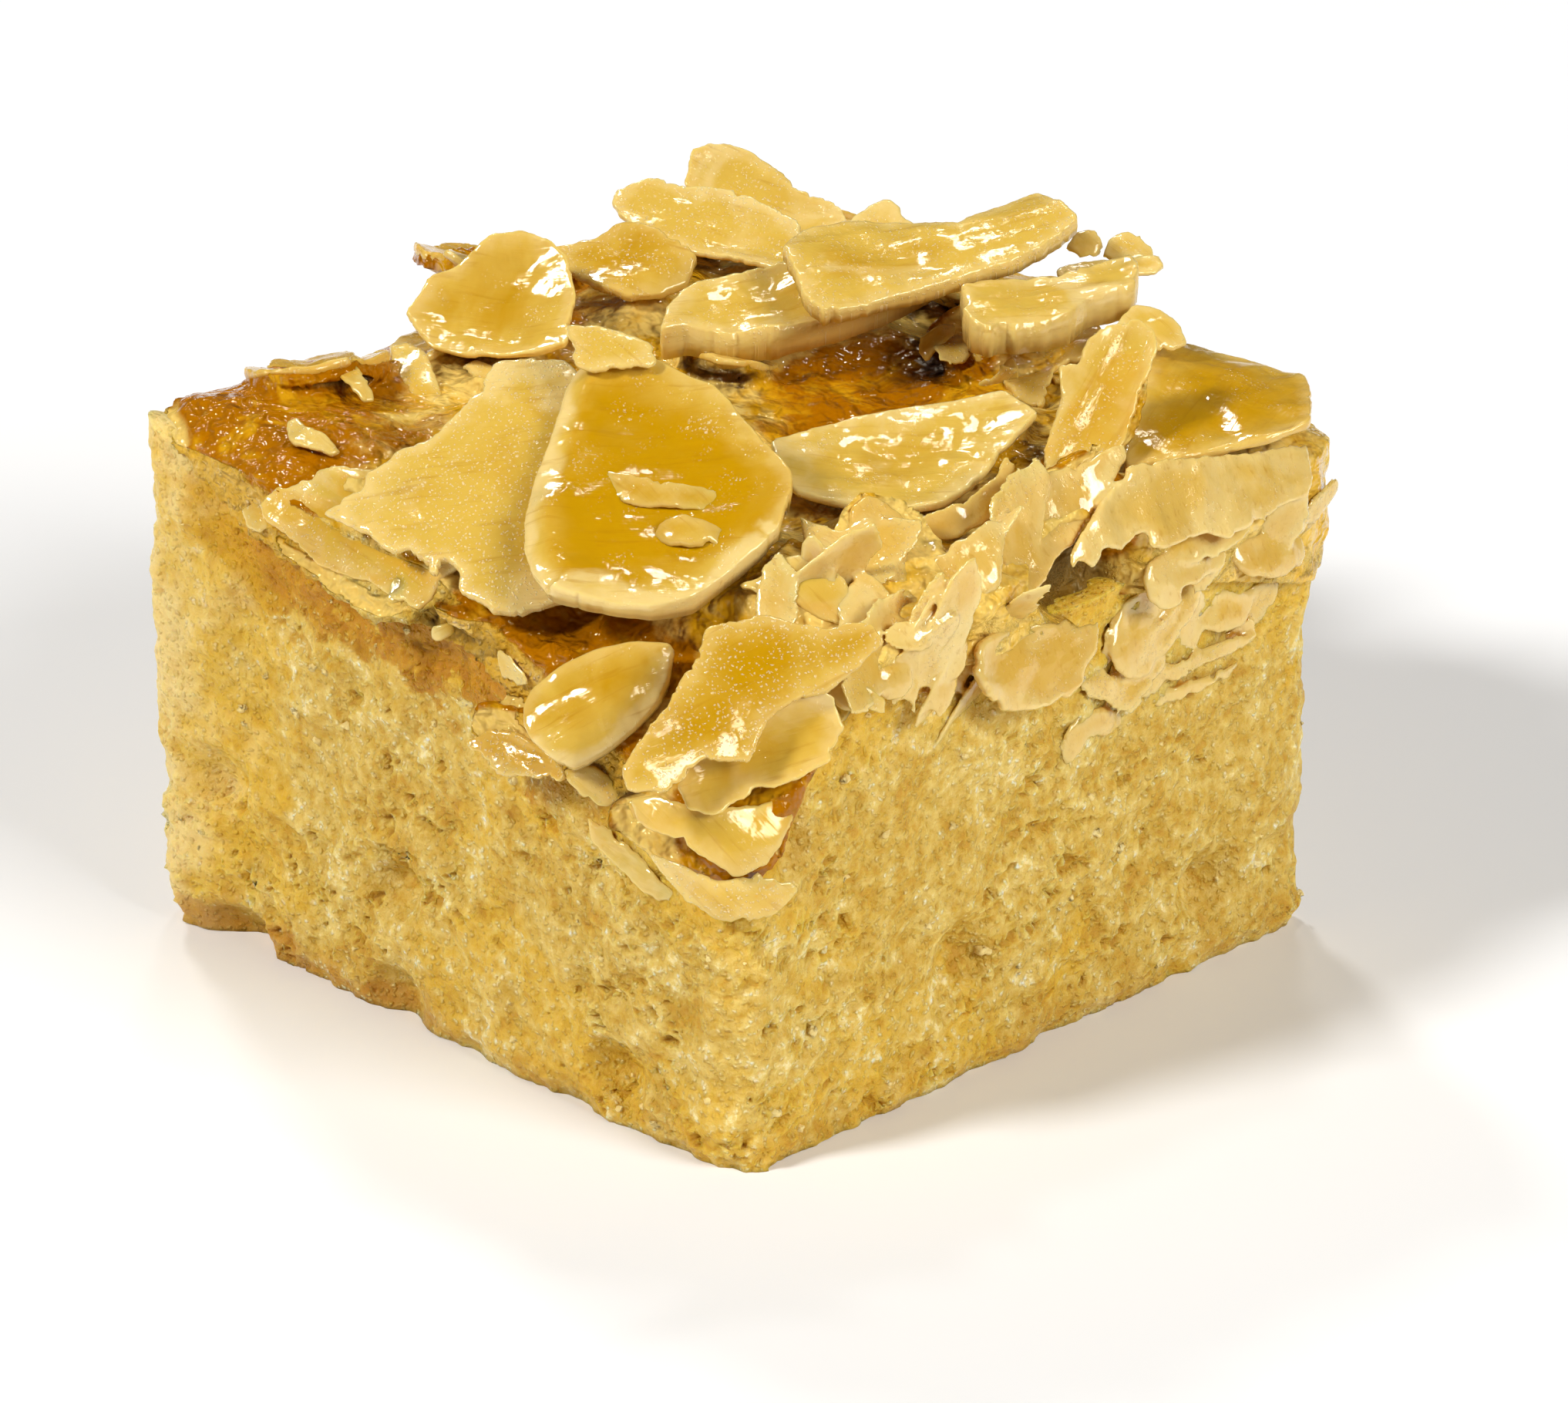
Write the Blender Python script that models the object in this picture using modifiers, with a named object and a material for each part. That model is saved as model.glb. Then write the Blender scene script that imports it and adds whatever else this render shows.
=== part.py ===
"""A square of tosca cake: a moist sponge under a caramel layer heaped with sliced almonds.

The frame is in metres, +Z up. The origin is under the middle of the whole cake, at the level of the
sponge's flat base, and X and Y run along its cut sides. The corner at +X -Y is the near one, where
the topping has slumped. Places in the almond heap are given as across, away and up, in millimetres:
across runs along the cake's diagonal from the -X -Y corner, the left one, to the +X +Y corner, the
right one, away runs from the near corner to the far one, and up is +Z.
"""

import math
import random
from typing import NamedTuple

import bmesh
import bpy
from mathutils import Matrix, Vector, noise
from mathutils.bvhtree import BVHTree

MM = 0.001

# The square and its two layers, in millimetres
SIDE = 42.0
SPONGE_HEIGHT = 22.5
CAKE_HEIGHT = 27.8
CORNER_RADIUS = 2.6
LIP = 0.5
GAP = 0.3
THINNEST = 1.0
CELLS = 18
SPONGE_ROWS = 10
TOPPING_ROWS = 3
WALL_SHARE = 0.99

# How far slices and caramel move at a time to get clear, and how far a fused slice may move at most
STEP = 0.1
MOST_SHIFT = 2.5

# The slump of the sponge's top at the near corner: its depth, and its reach along both cut sides
SLUMP_DEPTH = 8.0
SLUMP_ALONG_FRONT = 22.0
SLUMP_ALONG_SIDE = 7.0

# Where the layers' tops rise or fall: (across, away), reach and rise
SPONGE_SWELLS = (((-29.7, 0.0), 11.0, 4.6), ((29.7, 0.0), 16.0, -3.5))
CROWN_SWELLS = (
    ((-26.0, 0.0), 14.0, 1.0),
    ((-1.0, 13.0), 15.0, 2.0),
    ((5.0, 0.0), 7.0, -1.5),
    ((0.0, -29.7), 13.0, -4.0),
)
EDGE_FALL = 1.4
EDGE_REACH = 3.5
SPONGE_RIPPLE = 0.5
LUMP_HEIGHT = 0.9
LUMP_SIZE = 5.0
LUMP_NOISE = (0.8, 2.0, 3)
LUMP_PLACE = 20.0

# The crumb's relief, all of it cut inwards from the square. Its crags are mostly low in the walls
CRUMB_RELIEF = 0.9
CRUMB_GRAIN = 3.4
CRUMB_NOISE = (0.9, 2.0, 4)
CRAG_DEPTH = 1.5
CRAG_REACH = 2.6
CRAGS = 16
CRAGS_SEEN = ((-4.0, -21.0, 1.2), (-21.0, -21.0, 1.0))
CRAG_SPREAD = 0.9
CRAG_CEILING = 0.8
CRAG_LOWNESS = 1.6

# How the almond slices are cut
SLICE_THICKNESS = 1.0
SLICE_CELLS = (7, 6)
SLICE_SQUARENESS = 2.3
RAGGED = 0.13
RAGGED_GRAIN = 2.2
RIPPLE = 0.25
RIPPLE_GRAIN = 1.6
BEND_LEVEL = 0.3
NOISE_STRIDE = (3.7, 1.9, 0.0)

# The chips that fill the heap are part of the topping. Ranges run from least to most
CHIP_CELLS = (3, 2)
CHIP_THICKNESS = 0.9
CHIP_SHAPE = (0.45, 0.75)
CHIP_KEPT = (0.25, 0.5)
CHIP_BENDS = ((-0.4, 0.6), (-0.3, 0.5))
CHIP_ROWS = 6
CHIP_STRAY = (0.2, 0.8)
TOP_CHIP_LENGTHS = (4.5, 9.5)
TOP_CHIP_LEANS = (5.0, 40.0)
TOP_CHIP_RISES = (0.0, 1.1)
CHIPS_ON_EACH_WALL = 8
WALL_CHIP_LENGTHS = (4.0, 7.0)
WALL_CHIP_LEANS = (25.0, 80.0)
WALL_CHIP_INSET = 0.5
WALL_CHIP_FLOOR = 1.5
WALL_CHIP_MARGIN = 2.0
WALL_CHIP_FACINGS = (-25.0, 25.0)
WALL_CHIP_HEADINGS = (-40.0, 40.0)
BARE_SPOTS = (((-29.7, 0.0), 15.0), ((7.0, 1.5), 6.0))
SEED = 7


class Slice(NamedTuple):
    """An almond slice: an oval cut along straight edges, bent, and leaned over in the heap.

    Heading turns its long axis from across towards away, and lean then tips it towards facing,
    which is 0 at the near corner and positive to the right. Bend is the rise of its long sides and
    of its ends, and each cut is a direction in its own plane and the distance kept on that side.
    Sizes are in millimetres and angles in degrees.
    """

    name: str
    place: tuple
    size: tuple
    heading: float
    lean: float
    facing: float = 0.0
    bend: tuple = (0.6, 0.6)
    cuts: tuple = ()
    thickness: float = SLICE_THICKNESS
    cells: tuple = SLICE_CELLS


LARGE_SLICES = (
    Slice("slice_right_corner", (23.2, -0.8, 28.3), (13.5, 10.5), 66, 6, 20, (0.4, -0.7), ((150, 4.6),)),
    Slice("slice_left_front", (-11.8, -12.8, 29.3), (19.0, 16.0), 0, 33, -14, (-0.5, -0.8),
          ((132, 4.2), (237, 5.6), (0, 7.0))),
    Slice("slice_middle", (-4.2, -15.6, 30.8), (13.2, 15.6), 0, 30, 0, (0.7, 1.0), ((164, 5.8), (36, 5.8))),
    Slice("slice_half_moon", (7.9, -7.6, 28.9), (13.6, 12.0), 0, 16, 0, (0.8, 0.7), ((106, 1.5),)),
    Slice("slice_left_rear", (-13.0, 8.0, 29.6), (8.0, 7.0), -9, 30, -8, (1.1, 0.6), ((60, 3.0),)),
    Slice("slice_mid_rear", (-5.4, 9.8, 30.0), (7.4, 6.8), -20, 22, 0, (0.5, -0.6), ((200, 3.0),)),
    Slice("slice_long_low", (3.1, 4.3, 30.9), (17.5, 7.6), 22, 16, 0, (0.4, 0.5), ((195, 7.6),)),
    Slice("slice_long_high", (10.0, 7.2, 33.0), (15.6, 6.8), 18, 16, 0, (-0.3, 0.5), ((-40, 6.0), (12, 7.0))),
    Slice("slice_right_rear", (15.9, 2.8, 31.5), (10.0, 4.6), 16, 6, 0, (0.2, 0.3), ((-80, 1.8),), 1.8),
    Slice("slice_pointed", (-1.6, 16.4, 30.4), (12.5, 5.2), -24, 22, -5, (0.4, 0.5)),
    Slice("slice_summit", (1.6, 20.8, 30.5), (10.5, 6.4), -24, 36, 0, (0.5, 0.8), ((195, 4.4),)),
    Slice("slice_corner_lobe", (-6.2, -23.8, 23.2), (8.4, 6.6), 20, 48, -12, (-0.8, -0.6), ((60, 2.8),)),
    Slice("slice_corner_curl", (0.0, -28.2, 21.6), (11.0, 5.8), 18, 56, 4, (1.3, 0.6), ((100, 2.2),)),
    Slice("slice_corner_flag", (1.5, -28.6, 25.2), (11.4, 7.0), 28, 54, 4, (-0.4, 0.7), ((-75, 2.4), (130, 3.4))),
)

SMALL_SLICES = (
    Slice("front_edge", (-18.6, -11.6, 25.2), (12.4, 4.8), -50, 50, -40, (0.2, 0.2), ((100, 1.8),)),
    Slice("right_low", (12.8, 5.8, 29.0), (8.0, 5.5), 20, 25, 10, (0.4, 0.4), ((200, 3.0),)),
    Slice("standing", (16.9, -6.4, 28.8), (10.0, 3.2), 62, 42, 0, (0.2, 0.4), ((200, 1.4),)),
    Slice("right_edge", (15.2, -13.4, 27.4), (11.6, 4.4), 62, 50, 35, (0.6, 0.7), ((-60, 1.6),)),
    Slice("ridge", (7.6, -18.2, 27.4), (8.0, 5.5), -58, 30, 20, (-0.8, 0.4), ()),
    Slice("side_flat", (13.9, -16.3, 22.6), (7.0, 5.0), 25, 76, 44, (0.2, 0.3), ()),
    Slice("corner_strip", (-2.4, -26.8, 17.4), (8.0, 3.0), -28, 72, -12, (0.3, 0.5), ()),
    Slice("corner_tail", (-10.0, -21.2, 19.8), (7.0, 2.8), -40, 72, -36, (0.3, 0.4), ()),
    Slice("far_left", (-11.6, 17.4, 28.4), (12.0, 8.0), 40, 18, 150, (0.6, 0.6), ((20, 4.6),)),
    Slice("far_corner", (1.0, 25.2, 28.2), (12.0, 8.5), 10, 24, 170, (0.7, 0.5), ((250, 3.0),)),
    Slice("far_right", (12.6, 15.0, 28.4), (13.5, 8.5), -40, 16, 150, (0.5, 0.8), ((170, 5.0),)),
    Slice("far_low", (-21.0, 4.4, 28.0), (9.0, 6.5), 60, 20, 200, (0.5, 0.5), ((-30, 3.0),)),
)

# Colour and roughness of each food
FINISHES = {
    "sponge": ((0.80, 0.58, 0.22), 0.65),
    "topping": ((0.62, 0.30, 0.04), 0.25),
    "almond": ((0.84, 0.64, 0.27), 0.3),
}


def smooth(value):
    """A ramp from 0 to 1 with level ends."""
    value = min(max(value, 0.0), 1.0)
    return value * value * (3.0 - 2.0 * value)


def from_diagonals(across, away, up=0.0):
    """A place given over the cake's diagonals, as a point over its sides."""
    return Vector((across - away, across + away, up * math.sqrt(2))) / math.sqrt(2)


def to_diagonals(x, y, up):
    """A point over the cake's sides, as a place over its diagonals."""
    return (x + y) / math.sqrt(2), (y - x) / math.sqrt(2), up


def swelling(x, y, swells):
    """Rise of a layer's top at a place, from its swells."""
    total = 0.0
    for centre, reach, rise in swells:
        total += rise * smooth(1.0 - (from_diagonals(*centre) - Vector((x, y, 0))).length / reach)
    return total


def sponge_top(x, y):
    """Height of the sponge's top, which falls away at the near corner."""
    half = SIDE / 2
    slump = smooth(1.0 - math.hypot((half - x) / SLUMP_ALONG_FRONT, (half + y) / SLUMP_ALONG_SIDE))
    ripple = SPONGE_RIPPLE * noise.noise(Vector((x, y, 0.0)) / LUMP_SIZE)
    return SPONGE_HEIGHT + ripple - SLUMP_DEPTH * slump + swelling(x, y, SPONGE_SWELLS)


def crown(x, y):
    """Height of the caramel's top, which is lumpy and falls off towards the cut sides."""
    lumps = LUMP_HEIGHT * noise.fractal(Vector((x, y, LUMP_PLACE)) / LUMP_SIZE, *LUMP_NOISE)
    edge = smooth(1.0 - (SIDE / 2 - max(abs(x), abs(y))) / EDGE_REACH)
    return CAKE_HEIGHT + lumps - EDGE_FALL * edge + swelling(x, y, CROWN_SWELLS)


def outwards(x, y):
    """How far a place lies through the rounded rim, 1 at the wall, and the way out of the cake."""
    inner = SIDE / 2 - CORNER_RADIUS
    dx, dy = max(abs(x) - inner, 0.0), max(abs(y) - inner, 0.0)
    distance = math.hypot(dx, dy)
    if distance < 1e-6:
        return 0.0, Vector((0, 0, 0))
    return distance / CORNER_RADIUS, Vector((math.copysign(dx, x), math.copysign(dy, y), 0)) / distance


def finish_of(name):
    """The Principled material for one of the foods in FINISHES."""
    material = bpy.data.materials.get(name)
    if material is None:
        colour, roughness = FINISHES[name]
        material = bpy.data.materials.new(name)
        material.use_nodes = True
        shader = material.node_tree.nodes["Principled BSDF"]
        shader.inputs["Base Color"].default_value = (*colour, 1.0)
        shader.inputs["Roughness"].default_value = roughness
        shader.inputs["Metallic"].default_value = 0.0
    return material


def add_object(name, shape, collection, finish):
    """Makes a named object of a bmesh in millimetres, and frees the bmesh."""
    bmesh.ops.scale(shape, vec=(MM, MM, MM), verts=shape.verts)
    mesh = bpy.data.meshes.new(name)
    shape.to_mesh(mesh)
    shape.free()
    mesh.materials.append(finish_of(finish))
    obj = bpy.data.objects.new(name, mesh)
    collection.objects.link(obj)
    return obj


def square_layer(rows, bottom, top, flat_base):
    """One layer of the square: a grid on top, walls in rows, and the underside.

    bottom and top are functions that give heights. A flat base becomes one face. Returns the bmesh
    and its columns: for each place, the vertices over it, each with its share of the layer's depth.
    """
    layer = bmesh.new()
    bmesh.ops.create_grid(layer, x_segments=CELLS, y_segments=CELLS, size=1.0)
    reach = max(v.co.x for v in layer.verts)
    raised = bmesh.ops.extrude_face_region(layer, geom=layer.faces[:])
    upper = [item for item in raised["geom"] if isinstance(item, bmesh.types.BMVert)]
    bmesh.ops.translate(layer, verts=upper, vec=(0, 0, 1))
    upright = [e for e in layer.edges if abs(e.verts[0].co.z - e.verts[1].co.z) > 0.5]
    bmesh.ops.subdivide_edges(layer, edges=upright, cuts=rows - 1)
    if flat_base:
        base = [f for f in layer.faces if max(v.co.z for v in f.verts) < 1e-6]
        bmesh.ops.dissolve_faces(layer, faces=base, use_verts=True)
    layer.verts.index_update()
    columns = {}
    for v in layer.verts:
        x, y = v.co.x / reach * SIDE / 2, v.co.y / reach * SIDE / 2
        inner = SIDE / 2 - CORNER_RADIUS
        dx, dy = abs(x) - inner, abs(y) - inner
        if dx > 0 and dy > 0:
            scale = max(dx, dy) / math.hypot(dx, dy)
            x, y = math.copysign(inner + dx * scale, x), math.copysign(inner + dy * scale, y)
        columns.setdefault((x, y), []).append((v.index, v.co.z))
        v.co = Vector((x, y, bottom(x, y) + v.co.z * (top(x, y) - bottom(x, y))))
    bmesh.ops.recalc_face_normals(layer, faces=layer.faces)
    return layer, columns


def crag_places(draw):
    """Where crumb has torn out of the cut sides: the crags that were seen, and more on every wall."""
    half = SIDE / 2
    places = [Vector(seen) for seen in CRAGS_SEEN]
    while len(places) < CRAGS:
        height = SPONGE_HEIGHT * CRAG_CEILING * draw.random() ** CRAG_LOWNESS
        spot = Vector((half, draw.uniform(-CRAG_SPREAD, CRAG_SPREAD) * half, height))
        places.append(Matrix.Rotation(math.pi / 2 * (len(places) % 4), 3, "Z") @ spot)
    return places


def make_sponge(collection):
    """The sponge, with crumb and crags cut into its walls."""
    layer, _ = square_layer(SPONGE_ROWS, lambda x, y: 0.0, sponge_top, True)
    crags = crag_places(random.Random(SEED))
    for v in layer.verts:
        share, outward = outwards(v.co.x, v.co.y)
        if share > WALL_SHARE:
            crumb = 0.5 + 0.5 * noise.fractal(v.co / CRUMB_GRAIN, *CRUMB_NOISE)
            cut = CRUMB_RELIEF * min(max(crumb, 0.0), 1.0)
            cut += sum(CRAG_DEPTH * smooth(1.0 - (v.co - place).length / CRAG_REACH) for place in crags)
            v.co -= outward * min(cut, CRUMB_RELIEF + CRAG_DEPTH)
    return add_object("sponge", layer, collection, "sponge")


def make_caramel(collection):
    """The caramel layer, whose wavy lip stands out over the sponge, and its columns of vertices."""
    layer, columns = square_layer(TOPPING_ROWS, lambda x, y: sponge_top(x, y) + GAP, crown, False)
    for v in layer.verts:
        share, outward = outwards(v.co.x, v.co.y)
        if share > WALL_SHARE:
            strata = noise.noise(Vector((v.co.x, v.co.y, v.co.z * 2.0)) / CRUMB_GRAIN)
            v.co += outward * LIP * (1.0 + strata)
    return add_object("tosca_topping", layer, collection, "topping"), columns


def reach_of(almond, angle):
    """Distance from an almond slice's middle to its outline, at an angle in its own plane."""
    length, width = almond.size
    power = SLICE_SQUARENESS
    along, aside = abs(math.cos(angle)) * 2 / length, abs(math.sin(angle)) * 2 / width
    reach = (along**power + aside**power) ** (-1 / power)
    for direction, kept in almond.cuts:
        facing = math.cos(angle - math.radians(direction))
        if facing > 0:
            reach = min(reach, kept / facing)
    return reach


def make_slice(almond, number, collection):
    """One almond slice in its place: a grid drawn onto a disc, shaped, bent and given its thickness."""
    sheet = bmesh.new()
    bmesh.ops.create_grid(sheet, x_segments=almond.cells[0], y_segments=almond.cells[1], size=1.0)
    edge = max(v.co.x for v in sheet.verts)
    length, width = almond.size
    grain = Vector(NOISE_STRIDE) * number
    for v in sheet.verts:
        u, w = v.co.x / edge, v.co.y / edge
        disc = Vector((u * math.sqrt(1 - w * w / 2), w * math.sqrt(1 - u * u / 2), 0))
        ragged = 1.0 + RAGGED * disc.length**4 * noise.noise(disc * RAGGED_GRAIN + grain)
        angle = math.atan2(disc.y, disc.x)
        spot = Vector((math.cos(angle), math.sin(angle), 0)) * disc.length * reach_of(almond, angle) * ragged
        sides, ends = (spot.y * 2 / width) ** 2, (spot.x * 2 / length) ** 2
        spot.z = almond.bend[0] * (sides - BEND_LEVEL) + almond.bend[1] * (ends - BEND_LEVEL)
        spot.z += RIPPLE * noise.noise(disc * RIPPLE_GRAIN + grain)
        v.co = spot
    obj = add_object(almond.name, sheet, collection, "almond")
    towards = math.radians(almond.facing - 45)
    tip = Matrix.Rotation(math.radians(almond.lean), 4, Vector((-math.sin(towards), math.cos(towards), 0)))
    spin = Matrix.Rotation(math.radians(45 + almond.heading), 4, "Z")
    obj.matrix_world = Matrix.Translation(from_diagonals(*almond.place) * MM) @ tip @ spin
    solidify = obj.modifiers.new("Thickness", "SOLIDIFY")
    solidify.thickness = almond.thickness * MM
    solidify.offset = 0.0
    solidify.use_even_offset = False
    return obj


def skin_of(obj):
    """The points and faces of an object with its modifiers, in the cake's frame."""
    bpy.context.view_layer.update()
    evaluated = obj.evaluated_get(bpy.context.evaluated_depsgraph_get())
    mesh = evaluated.to_mesh()
    points = [obj.matrix_world @ vertex.co for vertex in mesh.vertices]
    faces = [tuple(face.vertices) for face in mesh.polygons]
    evaluated.to_mesh_clear()
    return points, faces


def too_close(first, second):
    """Whether two skins cross, or stand nearer than the gap."""
    tree, other = BVHTree.FromPolygons(*first), BVHTree.FromPolygons(*second)
    if tree.overlap(other):
        return True
    near = (tree.find_nearest(point, GAP * MM)[0] for point in second[0])
    back = (other.find_nearest(point, GAP * MM)[0] for point in first[0])
    return any(hit is not None for hit in near) or any(hit is not None for hit in back)


def move_clear(obj, others, direction, most):
    """Moves a slice a little at a time until it is clear of the others, and says if it got there."""
    for _ in range(round(most / STEP)):
        skin = skin_of(obj)
        if not any(too_close(skin, other) for other in others):
            return True
        obj.location += direction * STEP * MM
    return False


def press_under(topping, columns, skins):
    """Sinks the caramel wherever almond slices lie in it, down to the gap or to a thin layer."""
    trees = [BVHTree.FromPolygons(*skin) for skin in skins]
    vertices = topping.data.vertices
    faces = [tuple(f.vertices) for f in topping.data.polygons]
    heights = {place: crown(*place) for place in columns}
    above = {index: place for place, column in columns.items() for index, _ in column}
    while True:
        own = BVHTree.FromPolygons([v.co.copy() for v in vertices], faces)
        hit = {index for tree in trees for face, _ in own.overlap(tree) for index in faces[face]}
        hit |= {v.index for v in vertices for tree in trees if tree.find_nearest(v.co, GAP * MM)[0]}
        sink = {above[index] for index in hit if heights[above[index]] > sponge_top(*above[index]) + THINNEST}
        if not sink:
            return
        for place in sink:
            heights[place] -= STEP
            low = sponge_top(*place) + GAP
            for index, share in columns[place]:
                vertices[index].co.z = (low + share * (heights[place] - low)) * MM


def chip(place, lengths, heading, lean, facing, draw):
    """A small broken slice of random size."""
    length = draw.uniform(*lengths)
    size = (length, length * draw.uniform(*CHIP_SHAPE))
    cuts = ((draw.uniform(0, 360), size[1] * draw.uniform(*CHIP_KEPT)),)
    bend = tuple(draw.uniform(*ends) for ends in CHIP_BENDS)
    return Slice("chip", place, size, heading, lean, facing, bend, cuts, CHIP_THICKNESS, CHIP_CELLS)


def is_bare(across, away, _):
    """Whether a place in the heap shows smooth caramel without chips."""
    return any(math.hypot(across - spot[0], away - spot[1]) < reach for spot, reach in BARE_SPOTS)


def scattered_chips():
    """The chips that fill the heap: rows over the top, and some hung over each wall."""
    draw = random.Random(SEED)
    chips = []
    for cell in range(CHIP_ROWS**2):
        x = (cell % CHIP_ROWS + draw.uniform(*CHIP_STRAY)) / CHIP_ROWS * SIDE - SIDE / 2
        y = (cell // CHIP_ROWS + draw.uniform(*CHIP_STRAY)) / CHIP_ROWS * SIDE - SIDE / 2
        place = to_diagonals(x, y, crown(x, y) + draw.uniform(*TOP_CHIP_RISES))
        facing, heading, lean = draw.uniform(-180, 180), draw.uniform(0, 180), draw.uniform(*TOP_CHIP_LEANS)
        chips.append(chip(place, TOP_CHIP_LENGTHS, heading, lean, facing, draw))
    for count in range(4 * CHIPS_ON_EACH_WALL):
        wall, number = count % 4, count // 4
        along = (number + draw.uniform(*CHIP_STRAY)) / CHIPS_ON_EACH_WALL - 0.5
        spot = Vector((SIDE / 2 - WALL_CHIP_INSET, along * (SIDE - 2 * WALL_CHIP_MARGIN), 0))
        spot.rotate(Matrix.Rotation(math.pi / 2 * wall, 3, "Z"))
        spot.z = draw.uniform(sponge_top(spot.x, spot.y) + WALL_CHIP_FLOOR, crown(spot.x, spot.y))
        facing = 45 + 90 * wall + draw.uniform(*WALL_CHIP_FACINGS)
        heading, lean = facing + draw.uniform(*WALL_CHIP_HEADINGS), draw.uniform(*WALL_CHIP_LEANS)
        chips.append(chip(to_diagonals(*spot), WALL_CHIP_LENGTHS, heading, lean, facing, draw))
    return [one for one in chips if not is_bare(*one.place)]


def drop_scraps(mesh):
    """Keeps only a mesh's largest body, of triangles."""
    solid = bmesh.new()
    solid.from_mesh(mesh)
    bmesh.ops.triangulate(solid, faces=solid.faces)
    bodies = []
    seen = set()
    for start in solid.faces:
        if start not in seen:
            body = {start}
            rim = [start]
            while rim:
                near = [face for known in rim for e in known.edges for face in e.link_faces]
                rim = [face for face in dict.fromkeys(near) if face not in body]
                body.update(rim)
            seen |= body
            bodies.append(body)
    kept = max(bodies, key=len)
    bmesh.ops.delete(solid, geom=[face for face in solid.faces if face not in kept], context="FACES")
    solid.to_mesh(mesh)
    solid.free()


def fuse(topping, chips):
    """Joins chips to the topping with one union, and keeps its largest body."""
    group = bpy.data.collections.new("chips")
    bpy.context.scene.collection.children.link(group)
    for obj in chips:
        points, faces = skin_of(obj)
        solid = bpy.data.meshes.new(obj.name)
        solid.from_pydata(points, [], faces)
        group.objects.link(bpy.data.objects.new(obj.name, solid))
        bpy.data.objects.remove(obj)
    union = topping.modifiers.new("Chips", "BOOLEAN")
    union.operation = "UNION"
    union.operand_type = "COLLECTION"
    union.collection = group
    union.solver = "EXACT"
    bpy.context.view_layer.update()
    joined = bpy.data.meshes.new_from_object(topping.evaluated_get(bpy.context.evaluated_depsgraph_get()))
    topping.modifiers.clear()
    topping.data = joined
    drop_scraps(joined)
    for obj in list(group.objects):
        bpy.data.objects.remove(obj)
    bpy.data.collections.remove(group)


def place_slices(sponge, topping, columns, collection):
    """Lays the large slices in the heap one by one, clear of all the rest, and sinks the caramel under them."""
    slices = [make_slice(almond, number, collection) for number, almond in enumerate(LARGE_SLICES)]
    placed = [skin_of(sponge)]
    for obj in slices:
        move_clear(obj, placed, obj.matrix_world.col[2].xyz, SIDE)
        placed.append(skin_of(obj))
    press_under(topping, columns, placed[1:])
    for index, obj in enumerate(slices, 1):
        others = [skin_of(topping)] + placed[:index] + placed[index + 1 :]
        move_clear(obj, others, obj.matrix_world.col[2].xyz, SIDE)
        placed[index] = skin_of(obj)
    return slices


def place_chips(neighbours, collection):
    """The small slices, and the chips that find room beside the large ones."""
    skins = [skin_of(obj) for obj in neighbours]
    chips = []
    for number, almond in enumerate(SMALL_SLICES + tuple(scattered_chips()), len(LARGE_SLICES)):
        obj = make_slice(almond, number, collection)
        way = obj.matrix_world.col[2].xyz if almond in SMALL_SLICES else Vector((0, 0, -1))
        if move_clear(obj, skins, way, MOST_SHIFT):
            chips.append(obj)
        else:
            bpy.data.objects.remove(obj)
    return chips


def centre_cake(objects):
    """Moves the cake so that the middle of its whole outline stands over the origin."""
    points = [point for obj in objects for point in skin_of(obj)[0]]
    middle = [(min(p[i] for p in points) + max(p[i] for p in points)) / 2 for i in (0, 1)]
    for obj in objects:
        obj.location -= Vector((*middle, 0))


def build():
    """Makes the cake from the sponge up."""
    for obj in list(bpy.data.objects):
        bpy.data.objects.remove(obj)
    cake = bpy.data.collections.new("tosca_cake")
    bpy.context.scene.collection.children.link(cake)
    sponge = make_sponge(cake)
    topping, columns = make_caramel(cake)
    slices = place_slices(sponge, topping, columns, cake)
    fuse(topping, place_chips([sponge, *slices], cake))
    centre_cake([sponge, topping, *slices])


build()
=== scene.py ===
"""The looks of a square of tosca cake: moist crumb, poured caramel and a heap of glazed almond slices.

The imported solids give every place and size. Finer meshes of the same forms replace them here, made from
the same named values as the part's source. Lengths are in millimetres until a mesh is made. Places in the
almond heap are given as across, away and up: across runs along the cake's diagonal from its left corner to
its right one, away from the near corner to the far one, and up is +Z. Noise is given by its size, its
octaves, its seed and, where it isn't the usual one, its smoothness, and packed domes by size and seed.
"""

import logging
import math
import random
from dataclasses import dataclass, field
from enum import Enum
from typing import Callable, Optional, Union

import bmesh
import bpy
import numpy as np
from mathutils import Matrix, Vector, noise
from mathutils.bvhtree import BVHTree
from mathutils.geometry import delaunay_2d_cdt
from mathutils.kdtree import KDTree


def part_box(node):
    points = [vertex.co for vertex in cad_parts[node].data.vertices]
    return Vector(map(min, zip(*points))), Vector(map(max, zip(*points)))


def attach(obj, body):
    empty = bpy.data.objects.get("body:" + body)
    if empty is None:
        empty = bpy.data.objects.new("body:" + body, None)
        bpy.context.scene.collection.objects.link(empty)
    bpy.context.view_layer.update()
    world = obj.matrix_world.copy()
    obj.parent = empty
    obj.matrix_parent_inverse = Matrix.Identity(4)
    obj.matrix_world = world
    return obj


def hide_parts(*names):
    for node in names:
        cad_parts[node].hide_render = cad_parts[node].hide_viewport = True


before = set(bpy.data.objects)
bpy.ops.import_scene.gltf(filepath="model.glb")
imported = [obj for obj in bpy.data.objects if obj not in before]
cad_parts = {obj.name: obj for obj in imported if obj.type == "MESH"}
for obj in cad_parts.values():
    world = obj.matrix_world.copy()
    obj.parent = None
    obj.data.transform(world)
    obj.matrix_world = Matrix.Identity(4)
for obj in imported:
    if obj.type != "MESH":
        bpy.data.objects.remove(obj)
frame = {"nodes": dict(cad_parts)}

LOG = logging.getLogger("tosca_cake")
MM = 0.001
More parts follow.
